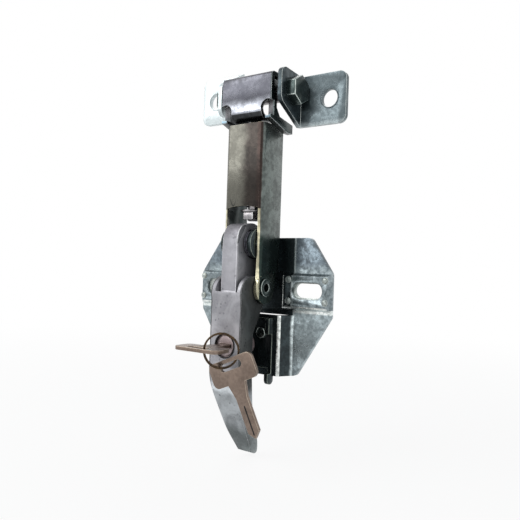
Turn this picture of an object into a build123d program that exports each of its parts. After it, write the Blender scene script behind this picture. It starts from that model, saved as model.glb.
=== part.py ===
"""Over-centre draw latch with a locking lever handle, a spring loaded hook and a bolted keeper.

Frame: X to the right, Y into the panel, Z up, in millimetres.  The origin lies on the panel face,
midway between the two mounting slots of the base plate.  The lever faces -Y.
"""
import os
from math import cos, radians, sin

from build123d import *

# ---------------------------------------------------------------- clearances
pin_play = 0.05  # radial play of a pin in its moving bore
hole_play = 0.2  # radial play of a fastener in a fixed hole
side_play = 0.4  # gap between neighbouring moving sheets
seat_gap = 0.05  # gap left where one fixed piece seats on another

# ---------------------------------------------------------------- base plate
base_width = 83.0
base_top = 27.0
base_bottom = -44.0
base_sheet = 2.5
corner_in = 12.5  # how far the upper corners are cut in along X
upper_cut = 18.0  # height of the upper corner cuts
lower_cut_in = 19.5
lower_cut = 31.0
slot_spacing = 56.6
slot_length = 18.4
slot_width = 8.8
pad_inner = 12.8  # inner end of each raised slot pad
pad_top = 8.8
pad_bottom = -10.2
pad_rise = 2.4
stake_spacing_x = 21.6
stake_spacing_z = 11.0
stake_diameter = 2.4
stake_proud = 0.5
backing_sheet = 2.0
backing_length = 24.6
backing_height = 14.4
hat_top_width = 32.0
hat_foot_width = 40.0
hat_rise = 10.0
hat_upper_end = -13.0
hat_sheet = 2.2

# ---------------------------------------------------------------- lever pivot and linkage
pivot_y = -20.0
pivot_z = 23.0
pivot_pin_diameter = 6.0
ear_radius = 7.8
ear_sheet = 2.2
bracket_foot_bottom = 9.5
bracket_rivet_gap = 9.6
rivet_diameter = 4.0
tongue_width = 9.2
tongue_radius = 10.4
spring_wire = 0.9
torsion_outer_radius = 7.6
arm_pin_y = -17.5
arm_pin_z = 1.0
arm_pin_diameter = 6.0
arm_pin_bore = 4.2
rivet_head_diameter = 9.0
rivet_head_height = 1.0

# ---------------------------------------------------------------- draw arm
arm_width = 23.6
arm_sheet = 2.0
arm_front = -23.0
arm_depth = 17.5
arm_web_top = 84.0
arm_web_bottom = 41.0
arm_end_radius = 7.6
arm_bend = 2.5

# ---------------------------------------------------------------- keeper
keeper_sheet = 2.5
keeper_ear_face = 20.2  # outer face of each ear
keeper_flange_end = 46.2
keeper_hole_x = 36.9
keeper_hole_z = 97.3
keeper_height = 26.0
keeper_hole_diameter = 9.0
keeper_ear_depth = 21.0
keeper_ear_rise = 1.5
keeper_slope_start = 15.6  # height of the ear's straight front edge
keeper_bolt_y = -10.2
keeper_bolt_z = 101.2
bolt_diameter = 8.0
bolt_flats = 13.0
bolt_head_height = 5.3
nut_height = 4.5
sleeve_diameter = 9.6

# ---------------------------------------------------------------- hook head and draw rod
hook_width = 31.0
hook_sheet = 2.4
hook_top_play = 0.8  # the hook dips this much as the linkage passes its dead centre
hook_lip_drop = 5.0
hook_lip_play = 2.0  # gap between the sleeve and the lip behind it
hook_plate_bottom = 91.0
hook_skirt_bottom = 83.6
hook_skirt_top = 85.6
hook_skirt_depth = 20.5
hook_wall_depth = 5.4
tab_width = 18.8
tab_bend = 5.0
notch_radius = 4.2
rod_diameter = 6.0
rod_y = -13.2
rod_head_diameter = 9.4
rod_head_height = 1.2
rod_tip = 35.0
rod_nut_flats = 10.0
rod_nut_height = 4.0
washer_diameter = 13.6
washer_height = 1.0
coil_wire = 1.6
coil_turns = 9
coil_outer_radius = 6.6
seat_sheet = 2.0

# ---------------------------------------------------------------- lever handle
lever_width = 18.8
lever_front = -33.6
lever_thickness = 10.5
lever_tip_z = -86.5
lever_ledge = -1.5  # height where the narrow tongue begins
lever_wall = 3.0

# ---------------------------------------------------------------- lock
lock_z = -28.0
lock_face = -32.9
lock_bore = 12.4
barrel_diameter = 12.3
barrel_step = 0.6  # how far the plug stands out of the barrel at each end
plug_diameter = 9.6
plug_rear = -16.2
keyway_width = 7.0
keyway_height = 2.0
cam_sheet = 1.6
cam_length = 11.0
cam_width = 8.0
notch_extra = 12.0  # room below the cam for its corner as it turns in
catch_width = 27.0
catch_sheet = 2.2
catch_front = -15.2
catch_bottom = -48.0
catch_top = -14.5
catch_rivet_gap = 14.0
catch_rivet_rise = 7.0
cam_screw_diameter = 4.0

# ---------------------------------------------------------------- keys and ring
key_sheet = 1.8
bow_width = 26.0
bow_height = 12.0
bow_slot_length = 12.5
bow_slot_width = 3.5
bow_slot_edge = 3.6  # from the bow's outer edge to the slot's middle
blade_width = 6.4
blade_length = 26.0
neck_width = 10.0
key_bow_y = -44.5  # blade side of the bow on the key in the lock
ring_radius = 8.0
ring_band = 1.0
ring_axial = 2.1
ring_turn = 35.0  # how far the ring's plane is turned from X about Z
spare_place = -68.0  # where on the ring the spare key hangs, from the ring's level radius
spare_lean = -8.0
spare_twist = -32.0

os.makedirs("parts", exist_ok=True)
made = []


def keep(builder, label):
    """Label a finished piece and remember it for export."""
    builder.part.label = label
    made.append(builder.part)


# ---------------------------------------------------------------- base plate
half_base = base_width / 2
slot_x = slot_spacing / 2
with BuildPart() as base_plate:
    with BuildSketch(Plane.XZ):
        with BuildLine():
            Polyline(
                (half_base - corner_in, base_top),
                (half_base, base_top - upper_cut),
                (half_base, base_bottom + lower_cut),
                (half_base - lower_cut_in, base_bottom),
                (-half_base + lower_cut_in, base_bottom),
                (-half_base, base_bottom + lower_cut),
                (-half_base, base_top - upper_cut),
                (-half_base + corner_in, base_top),
                close=True,
            )
        make_face()
        fillet(vertices(), radius=3.5)
    extrude(amount=base_sheet)
    # raised pads round the two slots, hollow behind
    for side in (-1, 1):
        pad_length = half_base - pad_inner
        pad_middle = side * (pad_inner + half_base) / 2
        pad_height = pad_top - pad_bottom
        pad_z = (pad_top + pad_bottom) / 2
        with BuildSketch(Plane.XZ.offset(base_sheet)):
            with Locations((pad_middle, pad_z)):
                Rectangle(pad_length, pad_height)
        extrude(amount=pad_rise, taper=28)
        with BuildSketch(Plane.XZ):
            with Locations((side * slot_x, 0)):
                Rectangle(backing_length + 2 * side_play, backing_height + 2 * side_play)
        extrude(amount=pad_rise, mode=Mode.SUBTRACT)
        with BuildSketch(Plane.XZ):
            with Locations((side * slot_x, 0)):
                SlotOverall(slot_length, slot_width)
        extrude(amount=base_sheet + pad_rise, mode=Mode.SUBTRACT)
        with BuildSketch(Plane.XZ):
            with Locations((side * slot_x, 0)):
                with GridLocations(stake_spacing_x, stake_spacing_z, 2, 2):
                    Circle(stake_diameter / 2 + pin_play)
        extrude(amount=base_sheet + pad_rise, mode=Mode.SUBTRACT)
    # pressed hat below the lever, open at its lower end
    hat_height = hat_upper_end - base_bottom
    with BuildSketch(Plane.XZ):
        with Locations((0, base_bottom + hat_height / 2)):
            Rectangle(hat_foot_width - 2 * hat_sheet, hat_height)
    extrude(amount=base_sheet, mode=Mode.SUBTRACT)
    with BuildSketch(Plane.XY.offset(base_bottom)):
        with BuildLine():
            Polyline(
                (-hat_foot_width / 2, -base_sheet),
                (-hat_foot_width / 2, 0),
                (-hat_foot_width / 2 + hat_sheet, 0),
                (-hat_top_width / 2 + hat_sheet, -hat_rise + hat_sheet),
                (hat_top_width / 2 - hat_sheet, -hat_rise + hat_sheet),
                (hat_foot_width / 2 - hat_sheet, 0),
                (hat_foot_width / 2, 0),
                (hat_foot_width / 2, -base_sheet),
                (hat_top_width / 2, -hat_rise),
                (-hat_top_width / 2, -hat_rise),
                close=True,
            )
        make_face()
    extrude(amount=hat_height)
    # holes for the rivets of the pivot bracket and of the lock catch
    bracket_rivet_z = (bracket_foot_bottom + base_top) / 2
    with BuildSketch(Plane.XZ):
        with Locations((0, bracket_rivet_z)):
            with GridLocations(0, bracket_rivet_gap, 1, 2):
                Circle(rivet_diameter / 2 + pin_play)
    extrude(amount=base_sheet, mode=Mode.SUBTRACT)
    catch_rivet_z = (catch_top + base_bottom) / 2 + catch_rivet_rise
    with BuildSketch(Plane.XZ.offset(hat_rise - hat_sheet)):
        with Locations((0, catch_rivet_z)):
            with GridLocations(catch_rivet_gap, 0, 2, 1):
                Circle(rivet_diameter / 2 + pin_play)
    extrude(amount=hat_sheet, mode=Mode.SUBTRACT)
keep(base_plate, "base_plate")

# ---------------------------------------------------------------- backing plates behind the slots
for side, label in ((-1, "backing_plate_left"), (1, "backing_plate_right")):
    with BuildPart() as backing_plate:
        front = pad_rise - seat_gap
        with BuildSketch(Plane.XZ.offset(front - backing_sheet)):
            with Locations((side * slot_x, 0)):
                RectangleRounded(backing_length, backing_height, 1.5)
            with Locations((side * slot_x, 0)):
                SlotOverall(slot_length - 2, slot_width - 1.4, mode=Mode.SUBTRACT)
        extrude(amount=backing_sheet)
        with BuildSketch(Plane.XZ.offset(front)):
            with Locations((side * slot_x, 0)):
                with GridLocations(stake_spacing_x, stake_spacing_z, 2, 2):
                    Circle(stake_diameter / 2)
        extrude(amount=base_sheet + stake_proud + seat_gap)
    keep(backing_plate, label)

# ---------------------------------------------------------------- pivot bracket
arm_inner = arm_width / 2 - arm_sheet
ear_outer = arm_inner - side_play
ear_inner = ear_outer - ear_sheet
with BuildPart() as pivot_bracket:
    with BuildSketch(Plane.YZ.offset(-ear_outer)):
        with BuildLine():
            Polyline(
                (-base_sheet, bracket_foot_bottom),
                (pivot_y, pivot_z - ear_radius),
                (pivot_y, pivot_z + ear_radius),
                (-base_sheet, base_top),
                close=True,
            )
        make_face()
        with Locations((pivot_y, pivot_z)):
            Circle(ear_radius)
    extrude(amount=2 * ear_outer)
    with BuildSketch(Plane.YZ.offset(-ear_inner)):
        with Locations((-base_sheet - ear_sheet, pivot_z)):
            Rectangle(60, 60, align=(Align.MAX, Align.CENTER))
    extrude(amount=2 * ear_inner, mode=Mode.SUBTRACT)
    with BuildSketch(Plane.YZ.offset(-ear_outer)):
        with Locations((pivot_y, pivot_z)):
            Circle(pivot_pin_diameter / 2 + seat_gap)
    extrude(amount=2 * ear_outer, mode=Mode.SUBTRACT)
    with BuildSketch(Plane.XZ.offset(base_sheet)):
        with Locations((0, bracket_rivet_z)):
            with GridLocations(0, bracket_rivet_gap, 1, 2):
                Circle(rivet_diameter / 2 + pin_play)
    extrude(amount=ear_sheet, mode=Mode.SUBTRACT)
keep(pivot_bracket, "pivot_bracket")

with BuildPart() as bracket_rivets:
    with BuildSketch(Plane.XZ):
        with Locations((0, bracket_rivet_z)):
            with GridLocations(0, bracket_rivet_gap, 1, 2):
                Circle(rivet_diameter / 2)
    extrude(amount=base_sheet + ear_sheet)
    with BuildSketch(Plane.XZ.offset(base_sheet + ear_sheet)):
        with Locations((0, bracket_rivet_z)):
            with GridLocations(0, bracket_rivet_gap, 1, 2):
                Circle(rivet_diameter * 0.8)
    extrude(amount=1.4, taper=25)
keep(bracket_rivets, "bracket_rivets")

with BuildPart() as pivot_pin:
    with BuildSketch(Plane.YZ.offset(-ear_outer)):
        with Locations((pivot_y, pivot_z)):
            Circle(pivot_pin_diameter / 2)
    extrude(amount=2 * ear_outer)
    chamfer(edges().filter_by(GeomType.CIRCLE), 0.4)
keep(pivot_pin, "pivot_pin")

# torsion spring on the right of the tongue, spacer bush on its left
coil_start = tongue_width / 2 + 0.1
coil_middle_radius = torsion_outer_radius - spring_wire / 2
with BuildPart() as torsion_spring:
    with BuildLine() as coil_path:
        Helix(spring_wire + 0.04, ear_inner - coil_start - spring_wire - 0.1, coil_middle_radius,
              center=(coil_start + spring_wire / 2, pivot_y, pivot_z), direction=(1, 0, 0))
    with BuildSketch(Plane(origin=coil_path.line @ 0, z_dir=coil_path.line % 0)):
        Circle(spring_wire / 2)
    sweep(path=coil_path.line, is_frenet=True)
keep(torsion_spring, "torsion_spring")

with BuildPart() as pivot_spacer:
    spacer_length = ear_inner - tongue_width / 2 - 2 * 0.1
    with BuildSketch(Plane.YZ.offset(-ear_inner + 0.1)):
        with Locations((pivot_y, pivot_z)):
            Circle(pivot_pin_diameter / 2 + 2)
            Circle(pivot_pin_diameter / 2 + pin_play, mode=Mode.SUBTRACT)
    extrude(amount=spacer_length)
keep(pivot_spacer, "pivot_spacer")

# ---------------------------------------------------------------- lock catch on the hat
catch_half = catch_width / 2
catch_web_front = hat_rise + catch_sheet
with BuildPart() as lock_catch:
    with BuildSketch(Plane.YZ.offset(-catch_half)):
        with BuildLine():
            Polyline(
                (-hat_rise, catch_top),
                (catch_front, catch_top),
                (catch_front, catch_bottom),
                (-hat_rise, catch_bottom),
                close=True,
            )
        make_face()
        fillet(vertices().group_by(Axis.Y)[0], radius=2.5)
    extrude(amount=catch_width)
    with BuildSketch(Plane.XY.offset(catch_bottom)):
        with Locations((0, -catch_web_front)):
            Rectangle(catch_width - 2 * catch_sheet, 30, align=(Align.CENTER, Align.MAX))
    extrude(amount=catch_top - catch_bottom, mode=Mode.SUBTRACT)
    # the web stops short of the walls' rounded lower ends
    with BuildSketch(Plane.XZ.offset(hat_rise)):
        with Locations((0, catch_bottom)):
            Rectangle(catch_width - 2 * catch_sheet, 8, align=(Align.CENTER, Align.MIN))
    extrude(amount=catch_sheet, mode=Mode.SUBTRACT)
    # notch that the cam turns into
    with BuildSketch(Plane.XZ.offset(catch_web_front)):
        with Locations((catch_half - catch_sheet / 2, lock_z + cam_width / 2 + 1.5)):
            Rectangle(catch_sheet * 2, cam_width + notch_extra, align=(Align.CENTER, Align.MAX))
    extrude(amount=10, mode=Mode.SUBTRACT)
    with BuildSketch(Plane.XZ.offset(hat_rise)):
        with Locations((0, catch_rivet_z)):
            with GridLocations(catch_rivet_gap, 0, 2, 1):
                Circle(rivet_diameter / 2 + pin_play)
    extrude(amount=catch_sheet, mode=Mode.SUBTRACT)
keep(lock_catch, "lock_catch")

with BuildPart() as catch_rivets:
    with BuildSketch(Plane.XZ.offset(hat_rise - hat_sheet)):
        with Locations((0, catch_rivet_z)):
            with GridLocations(catch_rivet_gap, 0, 2, 1):
                Circle(rivet_diameter / 2)
    extrude(amount=hat_sheet + catch_sheet)
    with BuildSketch(Plane.XZ.offset(hat_rise + catch_sheet)):
        with Locations((0, catch_rivet_z)):
            with GridLocations(catch_rivet_gap, 0, 2, 1):
                Circle(rivet_diameter * 0.8)
    extrude(amount=1.2, taper=25)
keep(catch_rivets, "catch_rivets")

# ---------------------------------------------------------------- keeper brackets
flange_bottom = keeper_hole_z - keeper_height / 2
flange_top = keeper_hole_z + keeper_height / 2
ear_top = flange_top + keeper_ear_rise


def keeper_bracket(turned):
    """One keeper stamping; turned puts it half a turn about the bolt's level front axis."""
    with BuildPart() as bracket:
        with BuildSketch(Plane.XZ):
            with BuildLine():
                Polyline(
                    (keeper_ear_face - keeper_sheet, flange_bottom),
                    (keeper_flange_end, flange_bottom),
                    (keeper_flange_end, flange_top),
                    (keeper_ear_face - keeper_sheet, flange_top),
                    close=True,
                )
            make_face()
            fillet(vertices().group_by(Axis.X)[-1], radius=4)
            with Locations((keeper_hole_x, keeper_hole_z)):
                Circle(keeper_hole_diameter / 2, mode=Mode.SUBTRACT)
        extrude(amount=keeper_sheet)
        with BuildSketch(Plane.YZ.offset(keeper_ear_face - keeper_sheet)):
            with BuildLine():
                Polyline(
                    (0, flange_bottom),
                    (-keeper_sheet, flange_bottom),
                    (-keeper_ear_depth, flange_top - keeper_slope_start),
                    (-keeper_ear_depth, ear_top),
                    (0, flange_top),
                    close=True,
                )
            make_face()
            fillet(vertices().sort_by_distance((-keeper_ear_depth, ear_top))[0], radius=4)
            low_corner = (-keeper_ear_depth, flange_top - keeper_slope_start)
            fillet(vertices().sort_by_distance(low_corner)[0], radius=5)
            with Locations((keeper_bolt_y, keeper_bolt_z)):
                Circle(bolt_diameter / 2 + hole_play, mode=Mode.SUBTRACT)
        extrude(amount=keeper_sheet)
        back_edge = edges().filter_by(Axis.Z).sort_by_distance((keeper_ear_face - keeper_sheet, 0, 100))[0]
        fillet(back_edge, radius=keeper_sheet * 0.9)
    if turned:
        axis = Axis((0, 0, keeper_bolt_z), (0, 1, 0))
        return bracket.part.rotate(axis, 180)
    return bracket.part


for turned, label in ((False, "keeper_bracket_right"), (True, "keeper_bracket_left")):
    piece = keeper_bracket(turned)
    piece.label = label
    made.append(piece)

with BuildPart() as keeper_bolt:
    with BuildSketch(Plane.YZ.offset(keeper_ear_face + seat_gap)):
        with Locations((keeper_bolt_y, keeper_bolt_z)):
            RegularPolygon(bolt_flats / 2, 6, major_radius=False, rotation=30)
    extrude(amount=bolt_head_height)
    with BuildSketch(Plane.YZ.offset(-keeper_ear_face - nut_height - 2)):
        with Locations((keeper_bolt_y, keeper_bolt_z)):
            Circle(bolt_diameter / 2)
    extrude(amount=2 * keeper_ear_face + nut_height + 2 + seat_gap)
keep(keeper_bolt, "keeper_bolt")

with BuildPart() as keeper_nut:
    with BuildSketch(Plane.YZ.offset(-keeper_ear_face - seat_gap - nut_height)):
        with Locations((keeper_bolt_y, keeper_bolt_z)):
            RegularPolygon(bolt_flats / 2, 6, major_radius=False, rotation=30)
            Circle(bolt_diameter / 2 + seat_gap, mode=Mode.SUBTRACT)
    extrude(amount=nut_height)
keep(keeper_nut, "keeper_nut")

with BuildPart() as keeper_sleeve:
    sleeve_half = keeper_ear_face - keeper_sheet - seat_gap
    with BuildSketch(Plane.YZ.offset(-sleeve_half)):
        with Locations((keeper_bolt_y, keeper_bolt_z)):
            Circle(sleeve_diameter / 2)
            Circle(bolt_diameter / 2 + seat_gap, mode=Mode.SUBTRACT)
    extrude(amount=2 * sleeve_half)
keep(keeper_sleeve, "keeper_sleeve")

# ---------------------------------------------------------------- hook head
hook_front = arm_front
hook_inner_top = keeper_bolt_z + sleeve_diameter / 2 + hook_top_play
hook_top = hook_inner_top + hook_sheet
lip_front = keeper_bolt_y + sleeve_diameter / 2 + hook_lip_play
lip_back = lip_front + hook_sheet
skirt_inner = arm_width / 2 + side_play
tab_top = hook_plate_bottom - tab_bend + hook_sheet
with BuildPart() as hook_head:
    # front plate, top and rear lip as one bent strip
    with BuildSketch(Plane.YZ.offset(-hook_width / 2)):
        with BuildLine():
            Polyline(
                (hook_front, hook_skirt_top),
                (hook_front, hook_top),
                (lip_back, hook_top),
                (lip_back, hook_inner_top - hook_lip_drop),
                (lip_front, hook_inner_top - hook_lip_drop),
                (lip_front, hook_inner_top),
                (hook_front + hook_sheet, hook_inner_top),
                (hook_front + hook_sheet, hook_skirt_top),
                close=True,
            )
        make_face()
        fillet(vertices().sort_by_distance((hook_front, hook_top))[0], radius=2.2)
        fillet(vertices().sort_by_distance((lip_back, hook_top))[0], radius=2.2)
    extrude(amount=hook_width)
    # short side walls carry the skirts that clasp the arm
    for side in (-1, 1):
        with BuildSketch(Plane.YZ.offset(side * (skirt_inner + hook_width / 2) / 2)):
            with BuildLine():
                Polyline(
                    (hook_front + 0.4, hook_skirt_bottom + 2),
                    (hook_front + 0.4, hook_top - 4),
                    (hook_front + hook_wall_depth, hook_top - 4),
                    (hook_front + hook_wall_depth, hook_skirt_top + 6),
                    (hook_front + hook_wall_depth + 3, hook_skirt_top + 2),
                    (hook_front + hook_skirt_depth, hook_skirt_top),
                    (hook_front + hook_skirt_depth, hook_skirt_bottom - 2.6),
                    (hook_front + hook_skirt_depth - 5, hook_skirt_bottom - 2.6),
                    close=True,
                )
            make_face()
        extrude(amount=(hook_width / 2 - skirt_inner) / 2, both=True)
    # the plate's lower edge is cut back beside the tab, with a round relief at each corner
    with BuildSketch(Plane.XZ.offset(-hook_front)):
        for side in (-1, 1):
            with Locations((side * (tab_width / 2 + notch_radius - 0.2), hook_plate_bottom)):
                Circle(notch_radius)
        with Locations((0, hook_plate_bottom)):
            Rectangle(2 * skirt_inner, 12, align=(Align.CENTER, Align.MAX))
    extrude(amount=-hook_sheet - 0.4, mode=Mode.SUBTRACT)
    # tab rolled back into the channel, where the draw rod hangs
    with BuildSketch(Plane.YZ.offset(-tab_width / 2)):
        with BuildLine():
            Line((hook_front, hook_plate_bottom), (hook_front + hook_sheet, hook_plate_bottom))
            RadiusArc((hook_front + hook_sheet, hook_plate_bottom), (hook_front + tab_bend, tab_top),
                      -(tab_bend - hook_sheet))
            Line((hook_front + tab_bend, tab_top), (rod_y + 6.5, tab_top))
            Line((rod_y + 6.5, tab_top), (rod_y + 6.5, tab_top - hook_sheet))
            Line((rod_y + 6.5, tab_top - hook_sheet), (hook_front + tab_bend, tab_top - hook_sheet))
            RadiusArc((hook_front + tab_bend, tab_top - hook_sheet), (hook_front, hook_plate_bottom), tab_bend)
        make_face()
    extrude(amount=tab_width)
    with BuildSketch(Plane.XY.offset(tab_top - hook_sheet)):
        with Locations((0, rod_y)):
            Circle(rod_diameter / 2 + hole_play)
    extrude(amount=hook_sheet, mode=Mode.SUBTRACT)
keep(hook_head, "hook_head")

# ---------------------------------------------------------------- draw rod, spring and their seats
rod_seat = tab_top + seat_gap
with BuildPart() as draw_rod:
    with BuildSketch(Plane.XY.offset(rod_tip)):
        with Locations((0, rod_y)):
            Circle(rod_diameter / 2)
    extrude(amount=rod_seat - rod_tip)
    with BuildSketch(Plane.XY.offset(rod_seat)):
        with Locations((0, rod_y)):
            Circle(rod_head_diameter / 2)
    extrude(amount=rod_head_height)
    chamfer(edges().filter_by(GeomType.CIRCLE).group_by(Axis.Z)[0], 0.6)
keep(draw_rod, "draw_rod")

nut_bottom = rod_tip + 0.6
with BuildPart() as rod_nut:
    with BuildSketch(Plane.XY.offset(nut_bottom)):
        with Locations((0, rod_y)):
            RegularPolygon(rod_nut_flats / 2, 6, major_radius=False)
            Circle(rod_diameter / 2 + seat_gap, mode=Mode.SUBTRACT)
    extrude(amount=rod_nut_height)
keep(rod_nut, "rod_nut")

washer_bottom = nut_bottom + rod_nut_height + seat_gap
with BuildPart() as spring_washer:
    with BuildSketch(Plane.XY.offset(washer_bottom)):
        with Locations((0, rod_y)):
            Circle(washer_diameter / 2)
            Circle(rod_diameter / 2 + hole_play, mode=Mode.SUBTRACT)
    extrude(amount=washer_height)
keep(spring_washer, "spring_washer")

seat_bottom = arm_web_top - seat_sheet - 1
with BuildPart() as spring_seat:
    seat_back = arm_front + arm_depth
    with BuildSketch(Plane.XY.offset(seat_bottom)):
        with Locations((0, arm_front + arm_sheet + seat_gap)):
            Rectangle(2 * arm_inner - 2 * seat_gap, arm_depth - arm_sheet - 1, align=(Align.CENTER, Align.MIN))
        with Locations((0, rod_y)):
            Circle(rod_diameter / 2 + hole_play, mode=Mode.SUBTRACT)
    extrude(amount=seat_sheet)
keep(spring_seat, "spring_seat")

coil_bottom = washer_bottom + washer_height + seat_gap + coil_wire / 2
coil_top = seat_bottom - seat_gap - coil_wire / 2
coil_radius = coil_outer_radius - coil_wire / 2
with BuildPart() as draw_spring:
    with BuildLine() as coil_path:
        Helix((coil_top - coil_bottom) / coil_turns, coil_top - coil_bottom, coil_radius,
              center=(0, rod_y, coil_bottom))
    with BuildSketch(Plane(origin=coil_path.line @ 0, z_dir=coil_path.line % 0)):
        Circle(coil_wire / 2)
    sweep(path=coil_path.line, is_frenet=True)
keep(draw_spring, "draw_spring")

# ---------------------------------------------------------------- draw arm
arm_back = arm_front + arm_depth
with BuildPart() as draw_arm:
    with BuildSketch(Plane.YZ.offset(-arm_width / 2)):
        with BuildLine():
            Polyline(
                (arm_front, arm_web_top),
                (arm_front, arm_pin_z + 10),
                (arm_pin_y - arm_end_radius + 1.2, arm_pin_z),
                (arm_pin_y, arm_pin_z - arm_end_radius),
                (arm_pin_y + arm_end_radius + 1, arm_pin_z),
                (arm_back, arm_pin_z + 24),
                (arm_back, arm_web_top),
                close=True,
            )
        make_face()
        with Locations((arm_pin_y + 0.5, arm_pin_z - 0.6)):
            Circle(arm_end_radius)
    extrude(amount=arm_width)
    # hollow of the channel
    with BuildSketch(Plane.XY.offset(arm_pin_z - 40)):
        with Locations((0, arm_front + arm_sheet)):
            Rectangle(2 * arm_inner, 60, align=(Align.CENTER, Align.MIN))
    extrude(amount=arm_web_top - arm_pin_z + 60, mode=Mode.SUBTRACT)
    outer_bends = edges().filter_by(Axis.Z).group_by(Axis.Y)[0]
    fillet(outer_bends, radius=arm_bend)
    # the web ends in a slightly arched edge and leaves the lower end open to the lever
    with BuildSketch(Plane.XZ.offset(-arm_front + 5)):
        with BuildLine():
            Line((arm_inner, arm_web_bottom), (arm_inner, arm_pin_z - 40))
            Line((arm_inner, arm_pin_z - 40), (-arm_inner, arm_pin_z - 40))
            Line((-arm_inner, arm_pin_z - 40), (-arm_inner, arm_web_bottom))
            ThreePointArc((-arm_inner, arm_web_bottom), (0, arm_web_bottom + 1.2), (arm_inner, arm_web_bottom))
        make_face()
    extrude(amount=-20, mode=Mode.SUBTRACT)
    with BuildSketch(Plane.YZ.offset(-arm_width / 2)):
        with Locations((arm_pin_y, arm_pin_z)):
            Circle(arm_pin_diameter / 2 + pin_play)
    extrude(amount=arm_width, mode=Mode.SUBTRACT)
keep(draw_arm, "draw_arm")

with BuildPart() as arm_pin:
    head_seat = arm_width / 2 + seat_gap * 2
    with BuildSketch(Plane.YZ.offset(-head_seat - rivet_head_height)):
        with Locations((arm_pin_y, arm_pin_z)):
            Circle(arm_pin_diameter / 2)
    extrude(amount=2 * (head_seat + rivet_head_height))
    for plane in (Plane.YZ.offset(head_seat), Plane.YZ.offset(-head_seat)):
        with BuildSketch(plane):
            with Locations((arm_pin_y, arm_pin_z)):
                Circle(rivet_head_diameter / 2)
        extrude(amount=rivet_head_height if plane.origin.X > 0 else -rivet_head_height)
    with BuildSketch(Plane.YZ.offset(-head_seat - rivet_head_height)):
        with Locations((arm_pin_y, arm_pin_z)):
            Circle(arm_pin_bore / 2)
    extrude(amount=2 * (head_seat + rivet_head_height), mode=Mode.SUBTRACT)
keep(arm_pin, "arm_pin")

# ---------------------------------------------------------------- lever handle
lever_back = lever_front + lever_thickness
half_lever = lever_width / 2
with BuildPart() as handle_lever:
    # side view of the casting
    with BuildSketch(Plane.YZ.offset(-half_lever)):
        with BuildLine():
            Line((lever_front, -5), (lever_front, -38))
            Spline((lever_front, -38), (lever_front + 4.2, -56), (lever_front + 12.5, -73), (-14.6, lever_tip_z + 3),
                   tangents=((0, -1), (0.5, -1)))
            Line((-14.6, lever_tip_z + 3), (-7.2, lever_tip_z))
            Spline((-7.2, lever_tip_z), (lever_back + 6.5, -64), (lever_back + 0.5, -44), (lever_back, -22),
                   tangents=((-0.3, 1), (0, 1)))
            Line((lever_back, -22), (arm_pin_y + 5.6, arm_pin_z - 3))
            ThreePointArc((arm_pin_y + 5.6, arm_pin_z - 3), (arm_pin_y + 4.6, arm_pin_z + 3.8),
                          (arm_pin_y - 1, arm_pin_z + 5.4))
            Line((arm_pin_y - 1, arm_pin_z + 5.4), (lever_front + 8, arm_pin_z + 5.4))
            ThreePointArc((lever_front + 8, arm_pin_z + 5.4), (lever_front + 2.3, arm_pin_z + 3), (lever_front, -5))
        make_face()
    extrude(amount=lever_width)
    # front view narrows towards the tip
    with BuildSketch(Plane.XZ.offset(-lever_front - 60)):
        with BuildLine():
            Line((-half_lever, arm_pin_z + 6), (half_lever, arm_pin_z + 6))
            Line((half_lever, arm_pin_z + 6), (half_lever, -42))
            Spline((half_lever, -42), (half_lever - 2.4, -62), (3.4, lever_tip_z + 2), tangents=((0, -1), (-0.4, -1)))
            ThreePointArc((3.4, lever_tip_z + 2), (0, lever_tip_z - 0.2), (-3.4, lever_tip_z + 2))
            Spline((-3.4, lever_tip_z + 2), (-half_lever + 2.4, -62), (-half_lever, -42),
                   tangents=((-0.4, 1), (0, 1)))
            Line((-half_lever, -42), (-half_lever, arm_pin_z + 6))
        make_face()
    extrude(amount=80, mode=Mode.INTERSECT)
    # the front face between the cheeks steps down to the tongue
    with BuildSketch(Plane.XZ.offset(-lever_front + 1)):
        with Locations((0, lever_ledge)):
            Rectangle(lever_width - 5, 20, align=(Align.CENTER, Align.MIN))
    extrude(amount=-10, mode=Mode.SUBTRACT)
    # pivot tongue
    with BuildSketch(Plane.YZ.offset(-tongue_width / 2)):
        with BuildLine():
            Line((lever_front + 1.4, lever_ledge - 2), (lever_front + 1.4, pivot_z - 2))
            Line((lever_front + 1.4, pivot_z - 2), (pivot_y - 5, pivot_z + 9.1))
            ThreePointArc((pivot_y - 5, pivot_z + 9.1), (pivot_y + 4, pivot_z + 9.6), (pivot_y + tongue_radius, pivot_z))
            Line((pivot_y + tongue_radius, pivot_z), (arm_pin_y + 4, arm_pin_z))
            Line((arm_pin_y + 4, arm_pin_z), (arm_pin_y, lever_ledge - 4))
            Line((arm_pin_y, lever_ledge - 4), (lever_front + 1.4, lever_ledge - 2))
        make_face()
    extrude(amount=tongue_width)
    # hollow back of the casting, round the lock boss
    with BuildSketch(Plane.XZ.offset(-lever_front - lever_wall)):
        with BuildLine():
            Polyline(
                (-half_lever + lever_wall, -8),
                (half_lever - lever_wall, -8),
                (half_lever - lever_wall, lock_z - 12),
                (2.2, lock_z - 19),
                (-2.2, lock_z - 19),
                (-half_lever + lever_wall, lock_z - 12),
                close=True,
            )
        make_face()
        with Locations((0, lock_z)):
            Circle(lock_bore / 2 + 2.4, mode=Mode.SUBTRACT)
    extrude(amount=-30, mode=Mode.SUBTRACT)
    with BuildSketch(Plane.XZ.offset(-lever_front + 1)):
        with Locations((0, lock_z)):
            Circle(lock_bore / 2)
    extrude(amount=-30, mode=Mode.SUBTRACT)
    with BuildSketch(Plane.YZ.offset(-half_lever)):
        with Locations((pivot_y, pivot_z)):
            Circle(pivot_pin_diameter / 2 + pin_play)
        with Locations((arm_pin_y, arm_pin_z)):
            Circle(arm_pin_diameter / 2 + seat_gap)
    extrude(amount=lever_width, mode=Mode.SUBTRACT)
keep(handle_lever, "handle_lever")

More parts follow.
